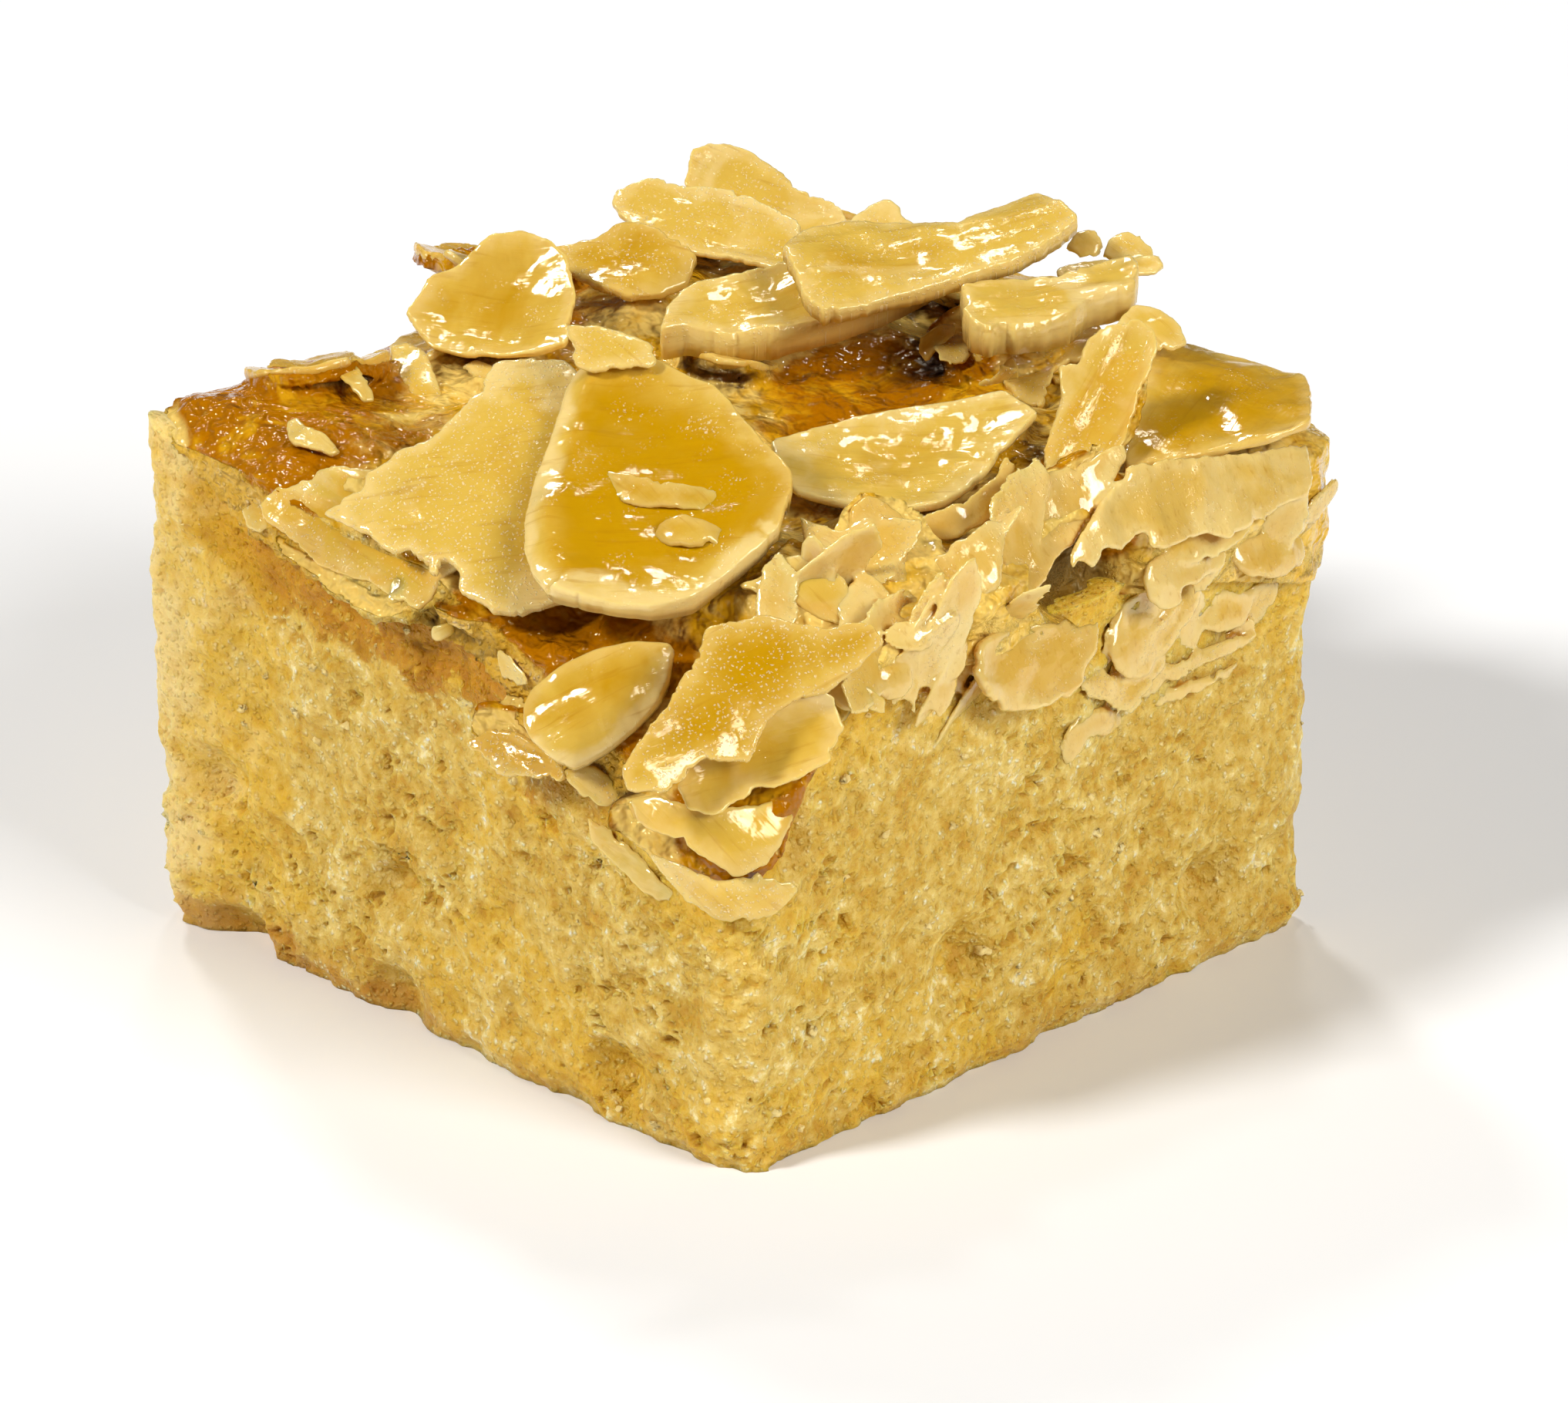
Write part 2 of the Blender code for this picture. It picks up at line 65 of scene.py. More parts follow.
ROOT2 = math.sqrt(2)
UP = Vector((0, 0, 1))
GOLDEN_TURN = 2.399963
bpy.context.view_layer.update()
Colour = tuple[float, float, float]


class Slot(Enum):
    """The record's material slots."""

    SPONGE = "sponge"
    TOPPING = "topping"
    ALMOND = "almond"


def smooth(value: float) -> float:
    """A ramp from 0 to 1 with level ends."""
    value = min(max(value, 0.0), 1.0)
    return value * value * (3.0 - 2.0 * value)


def linear(red: int, green: int, blue: int) -> Colour:
    """A colour on the screen, 0 to 255 each, as the linear light that shaders use."""
    shares = (red / 255, green / 255, blue / 255)
    return tuple(c / 12.92 if c <= 0.04045 else ((c + 0.055) / 1.055) ** 2.4 for c in shares)


def from_diagonals(across: float, away: float, up: float = 0.0) -> Vector:
    """A place given over the cake's diagonals, as a point over its sides."""
    return Vector((across - away, across + away, up * ROOT2)) / ROOT2


def to_diagonals(x: float, y: float, up: float) -> tuple[float, float, float]:
    """A point over the cake's sides, or rows of them, as a place over its diagonals."""
    return (x + y) / ROOT2, (y - x) / ROOT2, up


def tipped(lean: float, facing: float) -> Matrix:
    """Tips something over by lean towards facing, which is 0 at the near corner and positive to its right."""
    towards = math.radians(facing - 45)
    return Matrix.Rotation(math.radians(lean), 4, Vector((-math.sin(towards), math.cos(towards), 0)))


@dataclass(frozen=True)
class CakeForm:
    """The two layers' shapes, with the part's own values."""

    side: float = 42.0
    sponge_height: float = 22.5
    cake_height: float = 27.8
    corner_radius: float = 2.6
    slump_depth: float = 8.0
    slump_along_front: float = 22.0
    slump_along_side: float = 7.0
    sponge_swells: tuple = (((-29.7, 0.0), 11.0, 4.6), ((29.7, 0.0), 16.0, -3.5))
    crown_swells: tuple = (
        ((-26.0, 0.0), 14.0, 1.0),
        ((-1.0, 13.0), 15.0, 2.0),
        ((5.0, 0.0), 7.0, -1.5),
        ((0.0, -29.7), 13.0, -4.0),
    )
    edge_fall: float = 1.4
    edge_reach: float = 3.5
    sponge_ripple: float = 0.5
    lump_height: float = 0.9
    lump_size: float = 5.0
    lump_noise: tuple = (0.8, 2.0, 3)
    lump_place: float = 20.0
    crumb_relief: float = 0.9
    crumb_grain: float = 3.4
    crumb_noise: tuple = (0.9, 2.0, 4)
    crag_depth: float = 1.5
    crag_reach: float = 2.6
    crags: int = 16
    crags_seen: tuple = ((-4.0, -21.0, 1.2), (-21.0, -21.0, 1.0))
    crag_spread: float = 0.9
    crag_ceiling: float = 0.8
    crag_lowness: float = 1.6
    outline_shift: tuple = (0.153, 0.396, 0.0)
    seed: int = 7

    def swelling(self, x: float, y: float, swells: tuple) -> float:
        """Rise of a layer's top at a place, from its swells."""
        total = 0.0
        for centre, reach, rise in swells:
            total += rise * smooth(1.0 - (from_diagonals(*centre) - Vector((x, y, 0))).length / reach)
        return total

    def sponge_top(self, x: float, y: float) -> float:
        """Height of the sponge's top, which falls away at the near corner."""
        along_front, along_side = self.side / 2 - x, self.side / 2 + y
        slump = math.hypot(along_front / self.slump_along_front, along_side / self.slump_along_side)
        ripple = self.sponge_ripple * noise.noise(Vector((x, y, 0.0)) / self.lump_size)
        sunk = self.sponge_height + ripple - self.slump_depth * smooth(1.0 - slump)
        return sunk + self.swelling(x, y, self.sponge_swells)

    def crown(self, x: float, y: float) -> float:
        """Height of the caramel's top."""
        place = Vector((x, y, self.lump_place)) / self.lump_size
        lumps = self.lump_height * noise.fractal(place, *self.lump_noise)
        edge = smooth(1.0 - (self.side / 2 - max(abs(x), abs(y))) / self.edge_reach)
        return self.cake_height + lumps - self.edge_fall * edge + self.swelling(x, y, self.crown_swells)

    def crag_places(self) -> list[Vector]:
        """Where crumb has torn out of the cut sides."""
        draw = random.Random(self.seed)
        half = self.side / 2
        places = [Vector(seen) for seen in self.crags_seen]
        while len(places) < self.crags:
            height = self.sponge_height * self.crag_ceiling * draw.random() ** self.crag_lowness
            spot = Vector((half, draw.uniform(-self.crag_spread, self.crag_spread) * half, height))
            places.append(Matrix.Rotation(math.pi / 2 * (len(places) % 4), 3, "Z") @ spot)
        return places

    def wall_cut(self, point: Vector, crags: list[Vector]) -> float:
        """How deep the coarse crumb and the crags are cut at a point of the wall."""
        crumb = 0.5 + 0.5 * noise.fractal(point / self.crumb_grain, *self.crumb_noise)
        shares = (smooth(1.0 - (point - place).length / self.crag_reach) for place in crags)
        cut = self.crumb_relief * min(max(crumb, 0.0), 1.0) + sum(self.crag_depth * share for share in shares)
        return min(cut, self.crumb_relief + self.crag_depth)

    def rim(self, spacing: float) -> tuple[np.ndarray, np.ndarray]:
        """Places round the square's rounded outline.

        Args:
            spacing: Distance from one place to the next.

        Returns:
            The places and their outward directions, as rows of x and y.
        """
        inner = self.side / 2 - self.corner_radius
        straight, arc = 2 * inner, math.pi / 2 * self.corner_radius
        count = round(4 * (straight + arc) / spacing)
        places, ways = [], []
        for index in range(count):
            quarter, along = divmod(4 * (straight + arc) * index / count, straight + arc)
            if along < straight:
                place, way = (inner + self.corner_radius, along - inner), (1.0, 0.0)
            else:
                turn = (along - straight) / self.corner_radius
                way = (math.cos(turn), math.sin(turn))
                place = (inner + self.corner_radius * way[0], inner + self.corner_radius * way[1])
            spin = Matrix.Rotation(quarter * math.pi / 2, 2)
            places.append(spin @ Vector(place))
            ways.append(spin @ Vector(way))
        return np.array(places), np.array(ways)


@dataclass
class MeshDraft:
    """Points, faces and painted values of a piece, gathered before its mesh is made."""

    points: list = field(default_factory=list)
    faces: list = field(default_factory=list)
    paint: dict = field(default_factory=dict)

    def add(self, points: np.ndarray, faces: list, **paint: np.ndarray) -> None:
        """Adds a patch.

        Args:
            points: Its places, in millimetres.
            faces: Its faces, as indices into those places.
            paint: Values for each place, by name: one number each, or rows of three.
        """
        start = sum(len(patch) for patch in self.points)
        self.points.append(np.asarray(points, float))
        self.faces.extend(tuple(index + start for index in face) for face in faces)
        for name, values in paint.items():
            self.paint.setdefault(name, []).append(np.asarray(values, float))

    def make(self, name: str, shift: tuple) -> bpy.types.Object:
        """Makes the piece.

        Args:
            name: The piece's name.
            shift: How far the whole cake stands from its own middle, in millimetres.

        Returns:
            The object, linked to the scene and shaded smooth.
        """
        points = (np.concatenate(self.points) + shift) * MM
        mesh = bpy.data.meshes.new(name)
        mesh.from_pydata(points.tolist(), [], self.faces)
        for key, parts in self.paint.items():
            values = np.concatenate(parts)
            rows = values.ndim == 2
            layer = mesh.attributes.new(key, "FLOAT_VECTOR" if rows else "FLOAT", "POINT")
            layer.data.foreach_set("vector" if rows else "value", values.astype(np.float32).ravel())
        mesh.shade_smooth()
        obj = bpy.data.objects.new(name, mesh)
        bpy.context.scene.collection.objects.link(obj)
        return obj


Operand = Union["Socket", float, Colour]


class Socket:
    """A value inside a material, which Python's own operators can work on."""

    def __init__(self, look: "Look", output: bpy.types.NodeSocket) -> None:
        """Wraps one output of a node of a look."""
        self.look, self.output = look, output

    def _worked(self, operation: str, first: Operand, second: Operand) -> "Socket":
        """The Math node for one operation."""
        return self.look.node("ShaderNodeMath", {"operation": operation}, {0: first, 1: second})

    def __add__(self, other: Operand) -> "Socket":
        """Sum of two values."""
        return self._worked("ADD", self, other)

    __radd__ = __add__

    def __mul__(self, other: Operand) -> "Socket":
        """Product of two values."""
        return self._worked("MULTIPLY", self, other)

    __rmul__ = __mul__

    def __sub__(self, other: Operand) -> "Socket":
        """Difference of two values."""
        return self._worked("SUBTRACT", self, other)

    def __rsub__(self, other: Operand) -> "Socket":
        """Difference of two values, with the socket last."""
        return self._worked("SUBTRACT", other, self)


class Look:
    """One material and its tree of nodes."""

    def __init__(self, name: str) -> None:
        """Makes a material with nothing in its tree."""
        self.material = bpy.data.materials.new(name)
        self.material.use_nodes = True
        self.tree = self.material.node_tree
        self.tree.nodes.clear()

    def node(self, kind: str, settings: dict, values: Optional[dict] = None,
             output: Union[int, str] = 0) -> Socket:
        """Adds one node.

        Args:
            kind: The node's type.
            settings: Its own settings.
            values: What goes into its sockets, by name or number: a link or a value.
            output: The output to return.

        Returns:
            That output.
        """
        node = self.tree.nodes.new(kind)
        for key, value in settings.items():
            setattr(node, key, value)
        for key, value in (values or {}).items():
            if isinstance(value, Socket):
                self.tree.links.new(value.output, node.inputs[key])
            elif isinstance(value, tuple) and node.inputs[key].type == "RGBA":
                node.inputs[key].default_value = (*value, 1.0)
            else:
                node.inputs[key].default_value = value
        return Socket(self, node.outputs[output])

    def painted(self, name: str, output: str = "Fac") -> Socket:
        """A value painted on the mesh's points."""
        return self.node("ShaderNodeAttribute", {"attribute_name": name}, output=output)

    def place(self) -> Socket:
        """The place on the object, in millimetres."""
        here = self.node("ShaderNodeTexCoord", {}, output="Object")
        return self.node("ShaderNodeVectorMath", {"operation": "SCALE"}, {0: here, "Scale": 1 / MM})

    def painted_height(self) -> Socket:
        """The height over the floor, in millimetres."""
        return self.node("ShaderNodeSeparateXYZ", {}, {0: self.place()}, output="Z")

    def stretched(self, vector: Socket, by: Colour) -> Socket:
        """A vector with each of its parts multiplied."""
        return self.node("ShaderNodeVectorMath", {"operation": "MULTIPLY"}, {0: vector, 1: by})

    def grain(self, vector: Socket, size: float, detail: float = 3.0, rough: float = 0.55,
              warp: float = 0.0) -> Socket:
        """Noise over a surface.

        Args:
            vector: Where on the surface.
            size: Width of its coarsest lumps.
            detail: How many finer octaves there are.
            rough: How strong the finer octaves are.
            warp: How far the lumps are distorted.

        Returns:
            A value around 0.5.
        """
        return self.node("ShaderNodeTexNoise", {"noise_dimensions": "3D"}, {
            "Vector": vector, "Scale": 1 / size, "Detail": detail, "Roughness": rough, "Distortion": warp})

    def warped(self, vector: Socket, size: float, by: float) -> Socket:
        """A vector moved about by noise of a size, by up to half a distance each way."""
        moves = self.node("ShaderNodeTexNoise", {"noise_dimensions": "3D"},
                          {"Vector": vector, "Scale": 1 / size}, output="Color")
        return self.node("ShaderNodeVectorMath", {"operation": "MULTIPLY_ADD"},
                         {0: moves, 1: (by, by, by), 2: vector})

    def cells(self, vector: Socket, size: float, output: str = "Distance") -> Socket:
        """Distance from the middles of scattered cells of one size."""
        return self.node("ShaderNodeTexVoronoi", {}, {"Vector": vector, "Scale": 1 / size}, output)

    def between(self, value: Socket, low: float, high: float) -> Socket:
        """0 below one value, 1 above another, and smooth in between."""
        return self.node("ShaderNodeMapRange", {"interpolation_type": "SMOOTHSTEP"}, {
            "Value": value, "From Min": low, "From Max": high})

    def mixed(self, share: Operand, first: Operand, second: Operand, blend: str = "MIX") -> Socket:
        """Two colours mixed by a share of the second."""
        return self.node("ShaderNodeMix", {"data_type": "RGBA", "blend_type": blend},
                         {0: share, 6: first, 7: second}, output=2)

    def bumped(self, height: Socket, distance: float) -> Socket:
        """Normals for a height in millimetres times the distance."""
        return self.node("ShaderNodeBump", {}, {"Height": height, "Distance": distance * MM}, output="Normal")

    def finish(self, **sockets: Operand) -> bpy.types.Material:
        """Ends the tree in a Principled shader.

        Args:
            sockets: Its sockets' values or links, with _ for a space.

        Returns:
            The material.
        """
        values = {key.replace("_", " "): value for key, value in sockets.items()}
        shader = self.node("ShaderNodeBsdfPrincipled", {"subsurface_method": "RANDOM_WALK"}, values)
        target = self.tree.nodes.new("ShaderNodeOutputMaterial")
        self.tree.links.new(shader.output, target.inputs["Surface"])
        return self.material


def noise_at(points: np.ndarray, size: float, octaves: int = 2, seed: float = 0.0,
             smoothness: float = 0.9) -> np.ndarray:
    """Smooth noise at many places.

    Args:
        points: Rows of x, y and z.
        size: Width of the coarsest lumps.
        octaves: How many octaves are added up.
        seed: Moves the noise, so that two uses differ.
        smoothness: How fast the finer octaves fade.

    Returns:
        Values from about -1 to 1.
    """
    moved = points / size + seed
    return np.array([noise.fractal(place, smoothness, 2.0, octaves) for place in moved.tolist()])


def domes_at(points: np.ndarray, size: float, seed: float = 0.0) -> np.ndarray:
    """Height of rounded grains packed together, about 0.5 at their tops and -0.5 between them."""
    shifts = np.column_stack([noise_at(points, size, 2, axis * 9.1) for axis in range(3)])
    moved = points / size + seed + 0.35 * shifts
    return np.array([0.5 - 1.2 * noise.voronoi(place)[0][0] for place in moved.tolist()])


def spots_of(numbers: tuple) -> np.ndarray:
    """Rows of across and down, from numbers that give them in turn."""
    return np.array(numbers, float).reshape(-1, 2)


def ramp(values: np.ndarray, low: float, high: float) -> np.ndarray:
    """0 below one value, 1 above another, and smooth in between, for many values."""
    share = np.clip((values - low) / (high - low), 0.0, 1.0)
    return share * share * (3.0 - 2.0 * share)


def highest(values: np.ndarray, share: float, width: float) -> np.ndarray:
    """1 over the highest share of the values, falling to 0 over a width below them."""
    top = float(np.quantile(values, 1.0 - share))
    return ramp(values, top - width, top)


def spiral_ways(count: int) -> list[Vector]:
    """Ways spread evenly over the half round +Z."""
    ways = []
    for index in range(count):
        up = math.sqrt(1 - (index + 0.5) / count)
        turn, out = index * GOLDEN_TURN, math.sqrt(1 - up * up)
        ways.append(Vector((math.cos(turn) * out, math.sin(turn) * out, up)))
    return ways


def grid_faces(rows: int, columns: int, wrapped: bool = False) -> list:
    """Faces between the places of a grid.

    Args:
        rows: How many rows of places there are.
        columns: How many places a row has.
        wrapped: Whether each row closes into a ring.

    Returns:
        Quads, as indices row by row.
    """
    last = columns if wrapped else columns - 1
    return [
        (row * columns + at, row * columns + (at + 1) % columns,
         (row + 1) * columns + (at + 1) % columns, (row + 1) * columns + at)
        for row in range(rows - 1) for at in range(last)
    ]


def tree_of(objects: list, shift: tuple) -> BVHTree:
    """The faces of some objects, in millimetres over the cake's own middle."""
    places, faces = [], []
    for obj in objects:
        faces.extend(tuple(index + len(places) for index in face.vertices) for face in obj.data.polygons)
        places.extend(vertex.co / MM - Vector(shift) for vertex in obj.data.vertices)
    return BVHTree.FromPolygons(places, faces)


def hidden_share(tree: BVHTree, start: Vector, normal: Vector, reach: float, ways: list[Vector]) -> float:
    """Share of the ways round a normal on which a tree's faces lie within reach of a start."""
    turned = normal.to_track_quat("Z", "Y")
    return sum(tree.ray_cast(start, turned @ way, reach)[0] is not None for way in ways) / len(ways)


def remeshed(obj: bpy.types.Object, voxel: float, rounds: int,
             shift: tuple) -> tuple[np.ndarray, np.ndarray, list]:
    """Runs the parts of an object together into one smooth skin, and removes the object.

    Args:
        obj: The object.
        voxel: Size of the cells that the skin is made from, in millimetres.
        rounds: How many times it is smoothed.
        shift: How far the whole cake stands from its own middle, in millimetres.

    Returns:
        The skin's places and normals, as rows, and its faces.
    """
    remesh = obj.modifiers.new("Remesh", "REMESH")
    remesh.mode, remesh.voxel_size = "VOXEL", voxel * MM
    soften = obj.modifiers.new("Soften", "SMOOTH")
    soften.iterations, soften.factor = rounds, 0.5
    mesh = bpy.data.meshes.new_from_object(obj.evaluated_get(bpy.context.evaluated_depsgraph_get()))
    bpy.data.objects.remove(obj)
    points = np.array([vertex.co for vertex in mesh.vertices]) / MM - shift
    normals = np.array([vertex.normal for vertex in mesh.vertices])
    faces = [tuple(face.vertices) for face in mesh.polygons]
    bpy.data.meshes.remove(mesh)
    return points, normals, faces


@dataclass
class Sponge:
    """The crumb block, with torn walls."""

    form: CakeForm
    spacing: float = 0.205
    rows: int = 108
    overlap: float = 0.7
    ring_shares: tuple = (0.35, 0.75, 0.94)
    torn_noise: tuple = (9.0, 2, 3.1)
    torn_range: tuple = (-0.25, 0.35)
    pit_noise: tuple = (2.0, 6, 7.7, 0.55)
    pit_share: float = 0.014
    pit_depth: float = 0.4
    ledge_noise: tuple = (4.0, 6, 1.3, 0.6)
    ledge_share: float = 0.35
    ledge_depth: float = 0.2
    clump_domes: tuple = (1.6, 5.5)
    clump_height: float = 0.16
    grain_domes: tuple = (0.75, 15.5)
    grain_height: float = 0.1
    crest_noise: tuple = (3.0, 3, 8.1)
    flatness: float = 1.5
    foot_height: float = 1.1
    foot_domes: tuple = (2.2, 2.2)
    foot_lift: float = 0.15
    soak_reach: float = 6.0
    soak_drift: float = 4.0
    soak_noise: tuple = (2.6, 5, 12.2, 0.6)
    soak_front: tuple = (17.0, 20.0)
    soak_left: tuple = (-21.0, -14.0)
    soak_right: tuple = (-14.0, -4.0)
    left_bulge: float = 1.3
    left_reach: tuple = (23.5, 28.5)

    def fine_cut(self, points: np.ndarray) -> tuple[np.ndarray, ...]:
        """The crumb's own pits and clumps.

        Args:
            points: Places on the wall.

        Returns:
            How deep each is cut, how much of that is pit and torn ledge, and how far it is a grain's crest.
        """
        flat = points * (1.0, 1.0, self.flatness)
        torn = ramp(noise_at(points, *self.torn_noise) + 0.3 - points[:, 2] / 50.0, *self.torn_range)
        pits = highest(noise_at(flat, *self.pit_noise) + 0.5 * torn, self.pit_share, 0.2)
        ledges = highest(noise_at(flat, *self.ledge_noise), self.ledge_share, 0.15) * (0.25 + 0.75 * torn)
        clumps = domes_at(points, *self.clump_domes)
        grains = domes_at(points, *self.grain_domes)
        cut = self.pit_depth * pits + self.ledge_depth * ledges
        cut -= (self.clump_height * clumps + self.grain_height * grains) * (0.5 + 0.5 * torn)
        crest = np.clip(0.9 * grains + 0.7 * clumps + 0.3 * noise_at(points, *self.crest_noise), 0.0, 1.0)
        return cut, pits, ledges, crest

    def build(self) -> bpy.types.Object:
        """Makes the block's mesh."""
        places, ways = self.form.rim(self.spacing)
        count = len(places)
        tops = np.array([self.form.sponge_top(x, y) for x, y in places])
        shares = np.linspace(0.0, 1.0, self.rows)
        rows = [np.column_stack((places, tops * share + self.overlap * share)) for share in shares]
        wall = np.concatenate(rows)
        outward = np.column_stack((np.tile(ways, (self.rows, 1)), np.zeros(len(wall))))
        crags = self.form.crag_places()
        coarse = np.array([self.form.wall_cut(Vector(place), crags) for place in wall.tolist()])
        fine, pits, ledges, crests = self.fine_cut(wall)
        under = ramp(1.0 - wall[:, 2] / self.foot_height, 0.0, 1.0)
        ragged = under * (0.35 - 0.4 * domes_at(wall * (1.0, 1.0, 0.3), *self.foot_domes))
        wall -= outward * (coarse + fine * (1.0 - 0.7 * under) + ragged)[:, None]
        leftward = ramp(-wall[:, :2].sum(axis=1) / ROOT2, *self.left_reach)
        wall[:, :2] -= self.left_bulge / ROOT2 * leftward[:, None]
        depth = np.tile(tops, self.rows) - wall[:, 2]
        left = ramp(-wall[:, 1], *self.soak_front)
        left = left * ramp(-wall[:, 0], *self.soak_right) * ramp(wall[:, 0], *self.soak_left)
        drift = self.soak_drift * noise_at(wall, *self.soak_noise)
        soak = left * ramp(self.soak_reach - depth + drift, 0.0, self.soak_reach)
        wall[:, 2] += self.foot_lift * under * np.clip(noise_at(wall, 1.6, 2, 9.4), 0.0, 1.0)
        rings = [np.column_stack((wall[:count, :2] * share, np.zeros(count))) for share in self.ring_shares]
        rings.append(wall)
        for share in reversed(self.ring_shares):
            spots = wall[-count:, :2] * share
            heights = np.array([self.form.sponge_top(x, y) for x, y in spots]) + self.overlap
            rings.append(np.column_stack((spots, heights)))
        points = np.concatenate(rings)
        faces = grid_faces(len(points) // count, count, wrapped=True)
        faces += [tuple(reversed(range(count))), tuple(range(len(points) - count, len(points)))]
        blank = np.zeros(len(self.ring_shares) * count)
        paint = {"pit": pits, "ledge": ledges, "crest": crests, "depth": depth, "soak": soak}
        draft = MeshDraft()
        draft.add(points, faces,
                  **{name: np.concatenate((blank, values, blank)) for name, values in paint.items()})
        return draft.make("sponge_crumb", self.form.outline_shift)


@dataclass
class LooseCrumbs:
    """Pale grains of crumb that cling to the cut walls."""

    form: CakeForm
    count: int = 260
    sizes: tuple = (0.1, 0.34)
    sunk: float = 0.2
    spread: float = 0.96
    lowest: float = 0.5
    rise: float = 23.0
    lowness: float = 1.2
    stand_off: float = 9.0
    reach: float = 14.0
    lumpiness: float = 0.7
    flatness: float = 0.8
    depth: float = 20.0
    seed: int = 5

    def grain(self, draft: MeshDraft, place: Vector, size: float, number: int) -> None:
        """Adds one lumpy grain of a size to a draft."""
        lump = bmesh.new()
        bmesh.ops.create_icosphere(lump, subdivisions=2, radius=1.0)
        points = np.array([vertex.co for vertex in lump.verts])
        faces = [tuple(vertex.index for vertex in face.verts) for face in lump.faces]
        lump.free()
        points *= (1.0 + self.lumpiness * noise_at(points, 0.9, 3, number * 7.3, 0.5))[:, None] * size
        points = points * (1.0, 1.0, self.flatness) + np.array(place)
        nothing = np.zeros(len(points))
        draft.add(points, faces, pit=nothing, ledge=nothing, crest=nothing + 1.0, depth=nothing + self.depth,
                  soak=nothing)

    def build(self, sponge: bpy.types.Object) -> bpy.types.Object:
        """Makes the grains, each sunk into the wall of the finished sponge."""
        draw = random.Random(self.seed)
        wall = tree_of([sponge], self.form.outline_shift)
        draft = MeshDraft()
        half = self.form.side / 2
        for number in range(self.count):
            spin = Matrix.Rotation(math.pi / 2 * (number % 4), 3, "Z")
            way = spin @ Vector((1, 0, 0))
            along = draw.uniform(-self.spread, self.spread) * half
            height = self.rise * draw.random() ** self.lowness + self.lowest
            start = spin @ Vector((half + self.stand_off, along, height))
            hit = wall.ray_cast(start, -way, self.reach)[0]
            size = self.sizes[0] + (self.sizes[1] - self.sizes[0]) * draw.random() ** 3
            if hit is not None:
                self.grain(draft, hit - way * size * self.sunk, size, number)
        return draft.make("loose_crumbs", self.form.outline_shift)


@dataclass(frozen=True)
class View:
    """Where the cake is seen from: a long lens, a little above it, at its near corner."""

    azimuth: float = 45.07
    elevation: float = 24.65
    distance: float = 389.5
    aim: tuple = (4.874, -1.974, 14.265)
    lens: float = 180.0
    sensor: float = 36.0
    frame: tuple = (2034, 1820)

    def way(self, azimuth: float, elevation: float) -> Vector:
        """The way from the cake to something seen from an azimuth and elevation, in degrees."""
        turn, rise = math.radians(azimuth), math.radians(elevation)
        return Vector((math.sin(turn) * math.cos(rise), -math.cos(turn) * math.cos(rise), math.sin(rise)))

    def back(self) -> Vector:
        """The way from the cake to the camera."""
        return self.way(self.azimuth, self.elevation)

    def place(self) -> Vector:
        """The camera's place in the cake's frame, in millimetres."""
        return Vector(self.aim) + self.back() * self.distance

    def axes(self) -> tuple[Vector, Vector]:
        """The camera's ways ahead and to its right."""
        ahead = -self.back()
        return ahead, ahead.cross(UP).normalized()

    def towards(self, across: float, down: float) -> Vector:
        """The way from the camera through a place in its frame.

        Args:
            across: The place's distance from the frame's left side.
            down: Its distance from the top.

        Returns:
            A way in the cake's frame, 1 long at the frame's middle.
        """
        ahead, right = self.axes()
        focal = self.frame[0] * self.lens / self.sensor
        off_right, off_up = across - self.frame[0] / 2, self.frame[1] / 2 - down
        return ahead + (right * off_right + right.cross(ahead) * off_up) / focal

    def laid(self, spots: tuple, pose: Matrix) -> np.ndarray:
        """Places in the camera's frame, laid on a plane.

        Args:
            spots: The places, across and down in turn.
            pose: The plane's own frame, with the plane at no height.

        Returns:
            Rows of x and y in the plane's frame.
        """
        own = pose.inverted()
        start, turn = own @ self.place(), own.to_3x3()
        ways = [turn @ self.towards(*spot) for spot in spots_of(spots)]
        return np.array([(start + way * (-start.z / way.z)).to_2d() for way in ways])


def is_inside(points: np.ndarray, loop: np.ndarray) -> np.ndarray:
    """Which points lie inside a closed loop in the plane."""
    x, y = points[:, :1], points[:, 1:]
    (x0, y0), (x1, y1) = loop.T, np.roll(loop, -1, axis=0).T
    level = np.where(y1 == y0, 1e-9, y1 - y0)
    return np.sum(((y0 > y) != (y1 > y)) & (x < x0 + (y - y0) * (x1 - x0) / level), axis=1) % 2 == 1


def distance_in(points: np.ndarray, loop: np.ndarray) -> np.ndarray:
    """Distance of each point from a closed loop in the plane."""
    starts, spans = loop[None], (np.roll(loop, -1, axis=0) - loop)[None]
    offs = points[:, None] - starts
    along = np.clip(np.sum(offs * spans, axis=2) / np.maximum(np.sum(spans**2, axis=2), 1e-12), 0.0, 1.0)
    return np.sqrt(np.min(np.sum((offs - spans * along[..., None]) ** 2, axis=2), axis=1))


def anticlockwise(loop: np.ndarray) -> np.ndarray:
    """A closed loop in the plane, turned round if it runs clockwise."""
    after = np.roll(loop, -1, axis=0)
    return loop[::-1] if np.sum(loop[:, 0] * after[:, 1] - after[:, 0] * loop[:, 1]) < 0 else loop


def unit(rows: np.ndarray) -> np.ndarray:
    """Rows of x and y, each made 1 long."""
    return rows / np.maximum(np.linalg.norm(rows, axis=1), 1e-9)[:, None]


def outward_of(loop: np.ndarray) -> np.ndarray:
    """The outward ways at the places of an anticlockwise loop."""
    along = np.roll(loop, -1, axis=0) - np.roll(loop, 1, axis=0)
    return unit(np.column_stack((along[:, 1], -along[:, 0])))


